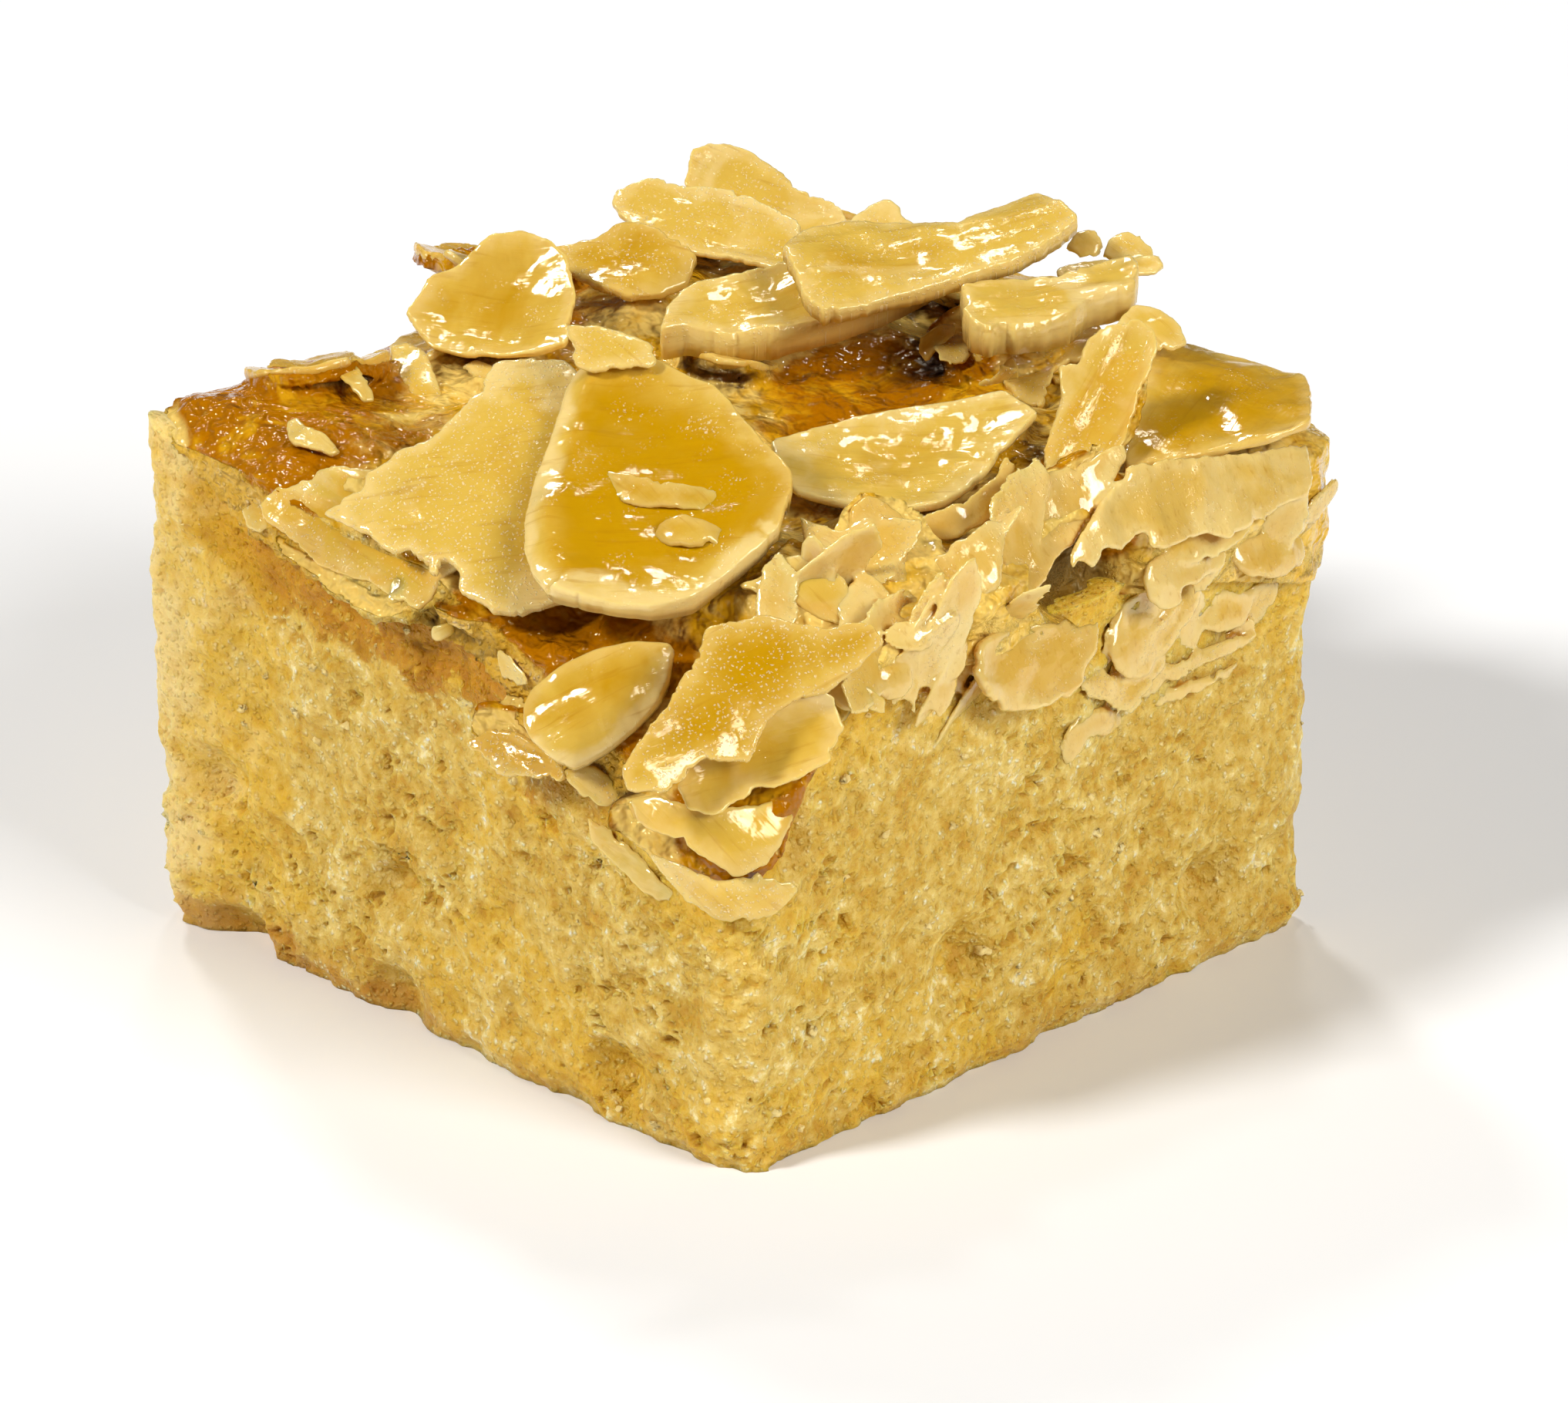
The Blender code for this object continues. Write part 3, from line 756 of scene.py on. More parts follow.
@dataclass
class Slicer:
    """Makes the mesh of an almond slice from its outline: two sheets with a crisp broken rim between them."""

    rim_spacing: float = 0.17
    spacing: float = 0.34
    row_spacing: float = 0.87
    stray: float = 0.06
    rings: tuple = (0.08, 0.2)
    ring_margin: float = 0.12
    rounding: float = 0.12
    rim_drop: float = 0.06
    taper_reach: float = 0.9
    rim_bulge: float = 0.03
    corner_cut: float = 0.1
    torn: float = 0.08
    torn_noise: tuple = (0.5, 3, 1.7, 0.6)
    bite: float = 0.3
    bite_noise: tuple = (2.0, 4, 4.1, 0.6)
    bite_range: tuple = (0.3, 0.9)
    relief: float = 0.05
    relief_noise: tuple = (1.3, 3, 0.0)
    ridge: float = 0.09
    ridge_stretch: tuple = (0.18, 1.0, 1.0)
    ridge_noise: tuple = (1.1, 3, 2.6)
    swell: float = 0.2
    swell_noise: tuple = (2.2, 2, 8.8)
    slope_noise: tuple = (2.4, 2, 3.3)
    slope_range: tuple = (0.45, 0.85)
    thinnest: float = 0.08

    def torn_loop(self, outline: np.ndarray, torn: float, number: int) -> np.ndarray:
        """The outline with cut corners and a broken edge.

        Args:
            outline: Its corners, in the slice's plane.
            torn: How ragged it is, as a share of the usual.
            number: Moves the noise.

        Returns:
            Places close together along the rim, anticlockwise.
        """
        outline, cut = anticlockwise(outline), self.corner_cut
        after = np.roll(outline, -1, axis=0)
        cut_corners = ((1 - cut) * outline + cut * after, cut * outline + (1 - cut) * after)
        soft = np.stack(cut_corners, axis=1).reshape(-1, 2)
        closed = np.vstack((soft, soft[:1]))
        lengths = np.concatenate(([0.0], np.cumsum(np.linalg.norm(np.diff(closed, axis=0), axis=1))))
        count = max(12, round(lengths[-1] / self.rim_spacing))
        at = np.linspace(0.0, lengths[-1], count, endpoint=False)
        loop = np.column_stack([np.interp(at, lengths, closed[:, axis]) for axis in (0, 1)])
        flat = np.column_stack((loop, np.full(count, number * 3.1)))
        teeth = self.torn * noise_at(flat, *self.torn_noise)
        bites = self.bite * ramp(noise_at(flat, *self.bite_noise), *self.bite_range)
        return loop + outward_of(loop) * (torn * (teeth - bites))[:, None]

    def sheet(self, loop: np.ndarray, draw: random.Random) -> tuple[np.ndarray, list]:
        """Fills a loop with small triangles.

        Args:
            loop: The rim.
            draw: Random numbers, so that the triangles aren't in rows.

        Returns:
            Places in the plane, and triangles that face up.
        """
        loop = anticlockwise(loop)
        outward, (low, high) = outward_of(loop), (loop.min(axis=0), loop.max(axis=0))
        filling = []
        for row, y in enumerate(np.arange(low[1], high[1], self.spacing * self.row_spacing)):
            for x in np.arange(low[0] + (row % 2) * self.spacing / 2, high[0], self.spacing):
                filling.append([at + draw.uniform(-self.stray, self.stray) for at in (x, y)])
        filling = np.array(filling)
        filling = filling[is_inside(filling, loop)]
        filling = filling[distance_in(filling, loop) > self.rings[-1] + self.ring_margin]
        points = [loop]
        for inset in self.rings:
            ring = loop - outward * inset
            ring = ring[is_inside(ring, loop)]
            points.append(ring[distance_in(ring, loop) > inset * 0.85])
        points = [Vector(point) for point in np.vstack(points + [filling]).tolist()]
        result = delaunay_2d_cdt(points, [], [list(range(len(loop)))], 1, 1e-4)
        places = np.array([tuple(place) for place in result[0]])
        faces = []
        for face in result[2]:
            first, second, third = (places[index] for index in face)
            (ax, ay), (bx, by) = second - first, third - first
            faces.append(tuple(face) if ax * by > ay * bx else tuple(reversed(face)))
        return places, faces

    def rim_of(self, places: np.ndarray, faces: list) -> tuple[list, np.ndarray, np.ndarray]:
        """The rim of a sheet.

        Args:
            places: The sheet's places.
            faces: Its triangles.

        Returns:
            The rim's edges, the places on it, and the outward way at each of those.
        """
        directed = {(face[side], face[(side + 1) % 3]) for face in faces for side in range(3)}
        rim = sorted(edge for edge in directed if edge[::-1] not in directed)
        ends = np.array(sorted({index for edge in rim for index in edge}))
        outward = np.zeros((len(places), 2))
        for first, second in rim:
            span = places[second] - places[first]
            side = np.array((span[1], -span[0])) / max(np.linalg.norm(span), 1e-9)
            outward[first] += side
            outward[second] += side
        return rim, ends, unit(outward[ends])

    def draw(self, draft: MeshDraft, outline: np.ndarray, pose: Matrix, lift: Callable, thickness: float,
             number: int, tint: float = 0.5, frost: float = 0.5, torn: float = 1.0, slopes: tuple = (),
             taper: float = 0.6) -> None:
        """Adds a slice to a draft.

        Args:
            draft: What it is added to.
            outline: Its corners, in its own plane.
            pose: Its own frame, in the cake's.
            lift: Gives the height of its middle at rows of x and y.
            thickness: Its thickness.
            number: Moves its noise.
            tint: How deep its yellow is, from 0 to 1.
            frost: How many fine whitish sugar crystals it has, each painted bright as a glint, from 0 to 1.
            torn: How ragged its rim is, as a share of the usual.
            slopes: Pale slopes along its rim: their direction in degrees, their width and their drop.
            taper: How much of its thickness it loses towards its rim, underneath.
        """
        places, faces = self.sheet(self.torn_loop(outline, torn, number), random.Random(number))
        rim, ends, outward = self.rim_of(places, faces)
        middles = [(places[first] + places[second]) / 2 for first, second in rim]
        edge_places = np.vstack((places[ends], middles))
        gaps = np.array([np.sum((edge_places - place) ** 2, axis=1) for place in places])
        deep = np.sqrt(np.min(gaps, axis=1))
        facing = outward[np.argmin(gaps[:, :len(ends)], axis=1)]
        round_in = 1.0 - np.clip(deep / self.rounding, 0.0, 1.0)
        flat = np.column_stack((places, np.full(len(places), number * 5.3)))
        wave = self.relief * noise_at(flat, *self.relief_noise)
        wave += self.ridge * noise_at(flat * self.ridge_stretch, *self.ridge_noise)
        half = thickness / 2 * (1.0 + self.swell * noise_at(flat, *self.swell_noise))
        middle = lift(places)
        pale, drop = np.zeros(len(places)), np.zeros(len(places))
        for direction, width, fall in slopes:
            turn = math.radians(direction)
            widths = width * (1.0 + 0.5 * noise_at(flat, *self.slope_noise))
            there = ramp(facing @ np.array((math.cos(turn), math.sin(turn))), *self.slope_range)
            there *= 1.0 - np.clip(deep / widths, 0.0, 1.0)
            pale, drop = np.maximum(pale, there), np.maximum(drop, fall * there)
        top = middle + np.maximum(half - drop, 0.1 - half)
        top = top - self.rim_drop * round_in**2 + wave * (1.0 - round_in)
        thinned = thickness * taper * (1.0 - np.clip(deep / self.taper_reach, 0.0, 1.0)) * (drop == 0)
        bottom = np.minimum(middle - half + thinned, top - self.thinnest)
        count = len(places)
        bulge = places[ends] + outward * self.rim_bulge * thickness
        points = np.vstack((
            np.column_stack((places, top)), np.column_stack((places, bottom)),
            np.column_stack((bulge, (top[ends] + bottom[ends]) / 2))))
        side = {index: 2 * count + at for at, index in enumerate(ends.tolist())}
        solid = list(faces) + [tuple(index + count for index in reversed(face)) for face in faces]
        for first, second in rim:
            solid.append((second, first, side[first], side[second]))
            solid.append((side[second], side[first], first + count, second + count))
        whole = points @ np.array(pose.to_3x3()).T + np.array(pose.translation)
        grain = np.vstack((flat, flat, flat[ends]))
        grain[:count, 2] += 0.5 * thickness
        draft.add(whole, solid, deep=np.concatenate((deep, deep, np.zeros(len(ends)))), grain=grain,
                  pale=np.concatenate((pale, pale, pale[ends])), tint=np.full(len(whole), tint),
                  frost=np.full(len(whole), frost))


# The usual form of a slice: how square it is, how it is ragged and waves over its own noise, and its bend.
SQUARENESS = 2.3
RAGGED, RAGGED_SCALE = 0.13, 2.2
WAVE, WAVE_SCALE = 0.25, 1.6
BEND_LEVEL, BEND_LIMIT = 0.3, 1.4
RIM_PLACES = 40


def own_noise(place: Vector, number: int) -> float:
    """Noise at a place on a numbered slice."""
    return noise.noise(place + Vector((3.7, 1.9, 0.0)) * number)


@dataclass(frozen=True)
class AlmondSlice:
    """An almond slice: cut along straight edges, bent, and leaned over in the heap.

    Heading turns its long axis from across towards away, and lean then tips it towards facing, which is 0
    at the near corner and positive to the right. Bend is the rise of its long sides and of its ends, and
    each cut is a direction in its own plane and the distance kept on that side. Seen holds the corners of
    its broken outline in the camera's frame, across and down in turn. Each slope is a direction in its own
    plane, and the width and drop of the pale slope along that side of its rim. Pressed is how far the glaze
    has drawn it towards the heap, straight away from the camera.
    """

    name: str
    place: tuple
    size: tuple
    heading: float
    lean: float
    facing: float = 0.0
    bend: tuple = (0.6, 0.6)
    cuts: tuple = ()
    thickness: float = 1.0
    cells: tuple = (7, 6)
    seen: tuple = ()
    tint: float = 0.5
    frost: float = 0.4
    torn: float = 1.0
    slopes: tuple = ()
    taper: float = 0.6
    pressed: float = 0.0

    def reach(self, angle: float) -> float:
        """Distance from the middle to the whole slice's outline, at an angle in its own plane."""
        length, width = self.size
        along, aside = abs(math.cos(angle)) * 2 / length, abs(math.sin(angle)) * 2 / width
        reach = (along**SQUARENESS + aside**SQUARENESS) ** (-1 / SQUARENESS)
        for direction, kept in self.cuts:
            facing = math.cos(angle - math.radians(direction))
            if facing > 0:
                reach = min(reach, kept / facing)
        return reach

    def spot(self, u: float, w: float, number: int) -> Vector:
        """A place on the whole slice's middle sheet.

        Args:
            u: Place along the sheet's grid, from -1 to 1.
            w: Place across the grid, from -1 to 1.
            number: The slice's number, which moves its noise.

        Returns:
            The place in the slice's own frame.
        """
        disc = Vector((u * math.sqrt(1 - w * w / 2), w * math.sqrt(1 - u * u / 2), 0))
        ragged = 1.0 + RAGGED * disc.length**4 * own_noise(disc * RAGGED_SCALE, number)
        angle = math.atan2(disc.y, disc.x)
        spot = Vector((math.cos(angle), math.sin(angle), 0)) * disc.length * self.reach(angle) * ragged
        sides, ends = (spot.y * 2 / self.size[1]) ** 2, (spot.x * 2 / self.size[0]) ** 2
        spot.z = self.bend[0] * (sides - BEND_LEVEL) + self.bend[1] * (ends - BEND_LEVEL)
        spot.z += WAVE * own_noise(disc * WAVE_SCALE, number)
        return spot

    def lift(self, places: np.ndarray, number: int) -> np.ndarray:
        """Height of the slice's middle over its own plane.

        Args:
            places: Rows of x and y.
            number: The slice's number, which moves its noise.

        Returns:
            A height for each place.
        """
        shares = places * 2 / self.size
        ends, sides = np.minimum(shares**2, BEND_LIMIT).T - BEND_LEVEL
        waves = [own_noise(Vector((*share, 0.0)) * WAVE_SCALE, number) for share in shares.tolist()]
        return self.bend[0] * sides + self.bend[1] * ends + WAVE * np.array(waves)

    def pose(self) -> Matrix:
        """Turns and moves the slice from its own frame into the cake's."""
        spin = Matrix.Rotation(math.radians(45 + self.heading), 4, "Z")
        return Matrix.Translation(from_diagonals(*self.place)) @ tipped(self.lean, self.facing) @ spin

    def sheet(self, number: int) -> np.ndarray:
        """The coarse middle sheet in the cake's frame, as rows of places."""
        pose = self.pose()
        us, ws = np.linspace(-1, 1, self.cells[0] + 1), np.linspace(-1, 1, self.cells[1] + 1)
        return np.array([pose @ self.spot(u, w, number) for w in ws for u in us])

    def draw(self, draft: MeshDraft, slicer: Slicer, view: View, number: int, moved: Vector) -> None:
        """Adds the slice to a draft.

        Args:
            draft: What it is added to.
            slicer: Makes its mesh.
            view: Where its outline was seen from.
            number: The slice's number, which moves its noise.
            moved: How far it stands from its named place.
        """
        pose = Matrix.Translation(moved) @ self.pose()
        if self.seen:
            outline = view.laid(self.seen, pose)
        else:
            turns = np.linspace(0.0, 2 * math.pi, RIM_PLACES, endpoint=False)
            ways = [Vector((math.cos(turn), math.sin(turn), 0)) for turn in turns]
            rag = [1.0 + RAGGED * own_noise(way * RAGGED_SCALE, number) for way in ways]
            reach = np.array([self.reach(turn) for turn in turns]) * rag
            outline = np.column_stack((np.cos(turns), np.sin(turns))) * reach[:, None]
        slicer.draw(draft, outline, pose, lambda places: self.lift(places, number), self.thickness, number,
                    self.tint, self.frost, self.torn, self.slopes, self.taper)


@dataclass(frozen=True)
class Flake:
    """A small flake, shard or drip, laid on whatever lies behind it.

    Seen holds the corners of its outline in the camera's frame, across and down in turn. It leans towards
    facing as a slice does, lies rise above what carries it, and rolls by bend from its middle to its rim.
    Away, if it is given, sets how far back it stands instead. On_cake keeps it off the large slices.
    """

    seen: tuple
    lean: float = 66.0
    facing: float = 0.0
    rise: float = 0.1
    thickness: float = 0.55
    bend: float = 0.3
    tint: float = 0.2
    frost: float = 0.1
    away: Optional[float] = None
    on_cake: bool = False

    def middle(self) -> np.ndarray:
        """The middle of its corners in the camera's frame."""
        return spots_of(self.seen).mean(axis=0)

    def draw(self, draft: MeshDraft, slicer: Slicer, view: View, number: int, carrier: BVHTree) -> bool:
        """Adds the flake to a draft.

        Args:
            draft: What it is added to.
            slicer: Makes its mesh.
            view: Where its outline was seen from.
            number: Moves its noise.
            carrier: Everything that may carry it, in millimetres.

        Returns:
            Whether anything carries it.
        """
        way, start = view.towards(*self.middle()).normalized(), view.place()
        if self.away is None:
            hit = carrier.ray_cast(start, way)[0]
            if hit is None:
                return False
            place = hit - way * self.rise
        else:
            ahead = from_diagonals(0.0, 1.0)
            place = start + way * ((self.away - start.dot(ahead)) / way.dot(ahead))
        # The last turn is a slight one within the flake's own plane, against fibres that all run level.
        spin = Matrix.Rotation(math.radians(math.radians(self.facing - 45)), 4, "Z")
        pose = Matrix.Translation(place) @ tipped(self.lean, self.facing) @ spin
        outline = view.laid(self.seen, pose)
        reach = np.abs(outline).max()

        def lift(places: np.ndarray) -> np.ndarray:
            """Height over the flake's plane."""
            flat = np.column_stack((places, np.full(len(places), number * 2.9)))
            rolled = self.bend * (BEND_LEVEL - np.sum(places**2, axis=1) / reach**2)
            return rolled + 0.18 * noise_at(flat, 2.5, 2, 6.1)

        slicer.draw(draft, outline, pose, lift, self.thickness, number, self.tint, self.frost)
        return True


LARGE_SLICES = (
    AlmondSlice("slice_right_corner", (23.2, -0.8, 28.3), (13.5, 10.5), 66, 6, facing=20, bend=(0.4, -0.7),
        cuts=((150, 4.6),), tint=0.75, frost=0.0, torn=0.5, seen=(
        1500, 456, 1545, 450, 1590, 455, 1650, 475, 1692, 492, 1700, 530, 1698, 572, 1640, 584, 1560, 592,
        1500, 600, 1458, 600, 1458, 575, 1476, 530, 1490, 490)),
    AlmondSlice("slice_left_front", (-11.8, -12.8, 29.3), (19.0, 16.0), 0, 33, facing=-14,
        bend=(-0.5, -0.8), cuts=((132, 4.2), (237, 5.6), (0, 7.0)), tint=0.1, frost=0.9, seen=(
        738, 476, 700, 470, 645, 476, 622, 518, 598, 548, 560, 582, 522, 594, 500, 612, 478, 618, 474, 640,
        440, 652, 420, 666, 450, 682, 485, 700, 512, 730, 532, 724, 568, 752, 580, 732, 599, 748, 598, 772,
        625, 786, 640, 796, 665, 802, 700, 792, 735, 780, 775, 740, 800, 640, 785, 530)),
    AlmondSlice("slice_middle", (-4.2, -15.6, 30.8), (13.2, 15.6), 0, 30, bend=(0.7, 1.0),
        cuts=((164, 5.8), (36, 5.8)), thickness=1.3, tint=0.8, frost=0.05, torn=0.3,
        slopes=((175, 1.2, 0.9), (275, 1.6, 0.08)), seen=(
        735, 500, 755, 475, 778, 462, 830, 458, 850, 476, 900, 500, 925, 510, 945, 530, 985, 580, 1010, 604,
        1027, 628, 1027, 655, 1010, 700, 985, 724, 940, 755, 918, 772, 900, 787, 850, 799, 800, 795, 760,
        788, 715, 778, 692, 748, 681, 715, 682, 668, 695, 615, 714, 568)),
    AlmondSlice("slice_half_moon", (7.9, -7.6, 28.9), (13.6, 12.0), 0, 16, bend=(0.8, 0.7),
        cuts=((106, 1.5),), tint=0.15, frost=0.1, torn=0.4, seen=(
        1000, 582, 1060, 560, 1110, 546, 1195, 530, 1250, 524, 1302, 517, 1335, 542, 1346, 552, 1320, 572,
        1300, 590, 1282, 615, 1255, 640, 1220, 660, 1180, 668, 1130, 668, 1080, 661, 1028, 650, 1008, 615)),
    AlmondSlice("slice_left_rear", (-13.0, 8.0, 29.6), (8.0, 7.0), -9, 30, facing=-8, bend=(1.1, 0.6),
        cuts=((60, 3.0),), frost=0.0, torn=0.6, seen=(
        560, 366, 590, 358, 615, 344, 640, 329, 680, 323, 716, 335, 738, 352, 748, 392, 742, 422, 738, 462,
        700, 472, 640, 472, 600, 468, 560, 456, 540, 434, 528, 410)),
    AlmondSlice("slice_mid_rear", (-5.4, 9.8, 30.0), (7.4, 6.8), -20, 22, bend=(0.5, -0.6),
        cuts=((200, 3.0),), tint=0.8, pressed=0.9, seen=(
        718, 318, 748, 314, 770, 316, 805, 302, 835, 310, 872, 324, 905, 345, 892, 372, 855, 388, 815, 392,
        780, 382, 752, 362, 730, 340)),
    AlmondSlice("slice_long_low", (3.1, 4.3, 30.9), (17.5, 7.6), 22, 16, bend=(0.4, 0.5),
        cuts=((195, 7.6),), thickness=1.9, tint=0.2, frost=0.2, torn=0.6, taper=0.0, seen=(
        856, 448, 866, 420, 884, 398, 905, 385, 960, 374, 1010, 360, 1080, 345, 1180, 335, 1240, 345, 1210,
        372, 1150, 398, 1110, 412, 1060, 428, 1000, 440, 940, 446, 890, 440)),
    AlmondSlice("slice_long_high", (10.0, 7.2, 33.0), (15.6, 6.8), 18, 16, bend=(-0.3, 0.5),
        cuts=((-40, 6.0), (12, 7.0)), tint=0.3, frost=0.5, taper=0.1, seen=(
        1015, 338, 1045, 310, 1100, 293, 1170, 290, 1240, 294, 1280, 280, 1330, 263, 1346, 258, 1368, 273,
        1400, 298, 1362, 322, 1320, 343, 1250, 362, 1180, 382, 1110, 403, 1070, 414, 1045, 402, 1028, 365)),
    AlmondSlice("slice_right_rear", (15.9, 2.8, 31.5), (10.0, 4.6), 16, 6, bend=(0.2, 0.3),
        cuts=((-80, 1.8),), thickness=1.8, tint=0.3, frost=0.05, taper=0.0, seen=(
        1250, 394, 1290, 389, 1340, 383, 1400, 374, 1440, 364, 1466, 358, 1476, 372, 1470, 392, 1412, 402,
        1392, 420, 1350, 432, 1300, 441, 1280, 448, 1258, 438, 1243, 412)),
    AlmondSlice("slice_pointed", (-1.6, 16.4, 30.4), (12.5, 5.2), -24, 22, facing=-5, bend=(0.4, 0.5),
        tint=0.05, frost=0.6, pressed=0.8, seen=(
        794, 272, 802, 258, 820, 250, 842, 245, 888, 252, 960, 262, 1040, 300, 1034, 350, 1020, 362, 985,
        349, 940, 338, 900, 330, 860, 314, 825, 302, 806, 288)),
    AlmondSlice("slice_summit", (1.6, 20.8, 30.5), (10.5, 6.4), -24, 36, bend=(0.5, 0.8),
        cuts=((195, 4.4),), tint=0.1, frost=0.5, seen=(
        888, 256, 893, 225, 898, 208, 920, 197, 945, 196, 970, 202, 1005, 222, 1045, 252, 1085, 270, 1098,
        292, 1075, 306, 1050, 326, 1020, 338, 975, 340, 925, 322, 895, 295)),
    AlmondSlice("slice_corner_lobe", (-6.2, -23.8, 23.2), (8.4, 6.6), 20, 48, facing=-12, bend=(-0.8, -0.6),
        cuts=((60, 2.8),), tint=0.8, frost=0.0, torn=0.2, slopes=((250, 1.5, 0.3), (310, 1.2, 0.2)),
        pressed=1.2, seen=(
        680, 940, 679, 918, 690, 894, 730, 866, 775, 846, 825, 836, 874, 838, 868, 880, 856, 912, 826, 944,
        796, 968, 745, 996, 718, 984, 688, 958)),
    AlmondSlice("slice_corner_curl", (0.0, -28.2, 21.6), (11.0, 5.8), 18, 56, facing=4, bend=(1.3, 0.6),
        cuts=((100, 2.2),), frost=0.05, seen=(
        1052, 898, 1078, 906, 1088, 930, 1094, 945, 1082, 968, 1076, 988, 1040, 1008, 1005, 1022, 962, 1036,
        925, 1059, 892, 1050, 880, 1022, 892, 996, 940, 960, 1000, 920)),
    AlmondSlice("slice_corner_flag", (1.5, -28.6, 25.2), (11.4, 7.0), 28, 54, facing=4, bend=(-0.4, 0.7),
        cuts=((-75, 2.4), (130, 3.4)), tint=0.75, frost=1.0, pressed=1.5, seen=(
        918, 812, 955, 806, 993, 796, 1030, 808, 1075, 821, 1097, 812, 1128, 814, 1146, 838, 1105, 875,
        1075, 898, 1032, 908, 1000, 930, 985, 955, 972, 990, 940, 988, 905, 990, 890, 1008, 868, 1034, 812,
        1032, 805, 1003, 835, 960, 868, 915, 885, 880, 905, 848)),
)

SMALL_SLICES = (
    AlmondSlice("front_edge", (-18.6, -11.6, 25.2), (12.4, 4.8), -50, 50, facing=-40, bend=(0.2, 0.2),
        cuts=((100, 1.8),), tint=0.2, seen=(
        345, 660, 365, 640, 400, 622, 450, 612, 505, 616, 570, 660, 604, 738, 582, 756, 562, 780, 544, 793,
        520, 782, 482, 757, 448, 746, 422, 738, 378, 698, 350, 680)),
    AlmondSlice("right_low", (12.8, 5.8, 29.0), (8.0, 5.5), 20, 25, facing=10, bend=(0.4, 0.4),
        cuts=((200, 3.0),), seen=(
        1258, 445, 1285, 452, 1335, 444, 1385, 438, 1420, 425, 1430, 445, 1405, 478, 1368, 488, 1350, 545,
        1320, 535, 1295, 498, 1270, 485, 1242, 462)),
    AlmondSlice("standing", (16.9, -6.4, 28.8), (10.0, 3.2), 62, 42, bend=(0.2, 0.4), cuts=((200, 1.4),),
        tint=0.45, frost=0.3, seen=(
        1474, 424, 1496, 440, 1500, 460, 1490, 492, 1474, 530, 1462, 565, 1450, 592, 1404, 602, 1376, 612,
        1352, 628, 1352, 595, 1366, 555, 1378, 516, 1372, 482, 1398, 478, 1408, 455, 1428, 438)),
    AlmondSlice("right_edge", (15.2, -13.4, 27.4), (11.6, 4.4), 62, 50, facing=35, bend=(0.6, 0.7),
        cuts=((-60, 1.6),), tint=0.15, frost=0.2, seen=(
        1452, 582, 1456, 598, 1436, 634, 1412, 670, 1392, 706, 1368, 724, 1352, 756, 1328, 778, 1290, 786,
        1262, 792, 1300, 720, 1302, 676, 1326, 668, 1336, 640, 1354, 616, 1385, 607, 1412, 600, 1430, 586)),
    AlmondSlice("ridge", (7.6, -18.2, 27.4), (8.0, 5.5), -58, 30, facing=20, bend=(-0.8, 0.4), tint=0.45,
        frost=0.2, seen=(
        1100, 672, 1122, 656, 1148, 662, 1182, 690, 1200, 728, 1218, 768, 1230, 796, 1196, 801, 1168, 792,
        1146, 760, 1118, 736, 1100, 712)),
    AlmondSlice("side_flat", (13.9, -16.3, 22.6), (7.0, 5.0), 25, 76, facing=44, bend=(0.2, 0.3), tint=0.1,
        frost=0.1, seen=(
        1300, 816, 1330, 807, 1366, 808, 1386, 820, 1410, 824, 1402, 856, 1392, 884, 1372, 908, 1322, 922,
        1290, 922, 1262, 900, 1250, 868, 1256, 840, 1275, 822)),
    AlmondSlice("corner_strip", (-2.4, -26.8, 17.4), (8.0, 3.0), -28, 72, facing=-12, bend=(0.3, 0.5),
        tint=0.35, frost=0.05, seen=(
        816, 1038, 842, 1034, 876, 1042, 908, 1058, 936, 1078, 958, 1104, 966, 1128, 940, 1122, 905, 1100,
        868, 1080, 846, 1084, 828, 1066)),
    AlmondSlice("corner_tail", (-10.0, -21.2, 19.8), (7.0, 2.8), -40, 72, facing=-36, bend=(0.3, 0.4),
        tint=0.4, frost=0.9, seen=(
        616, 962, 640, 945, 668, 948, 690, 960, 716, 978, 742, 1004, 736, 1014, 700, 1008, 664, 1006, 638,
        992, 624, 976)),
    AlmondSlice("far_left", (-11.6, 17.4, 28.4), (12.0, 8.0), 40, 18, facing=150, cuts=((20, 4.6),)),
    AlmondSlice("far_corner", (1.0, 25.2, 28.2), (12.0, 8.5), 10, 24, facing=170, bend=(0.7, 0.5),
        cuts=((250, 3.0),)),
    AlmondSlice("far_right", (12.6, 15.0, 28.4), (13.5, 8.5), -40, 16, facing=150, bend=(0.5, 0.8),
        cuts=((170, 5.0),)),
    AlmondSlice("far_low", (-21.0, 4.4, 28.0), (9.0, 6.5), 60, 20, facing=200, bend=(0.5, 0.5),
        cuts=((-30, 3.0),)),
)

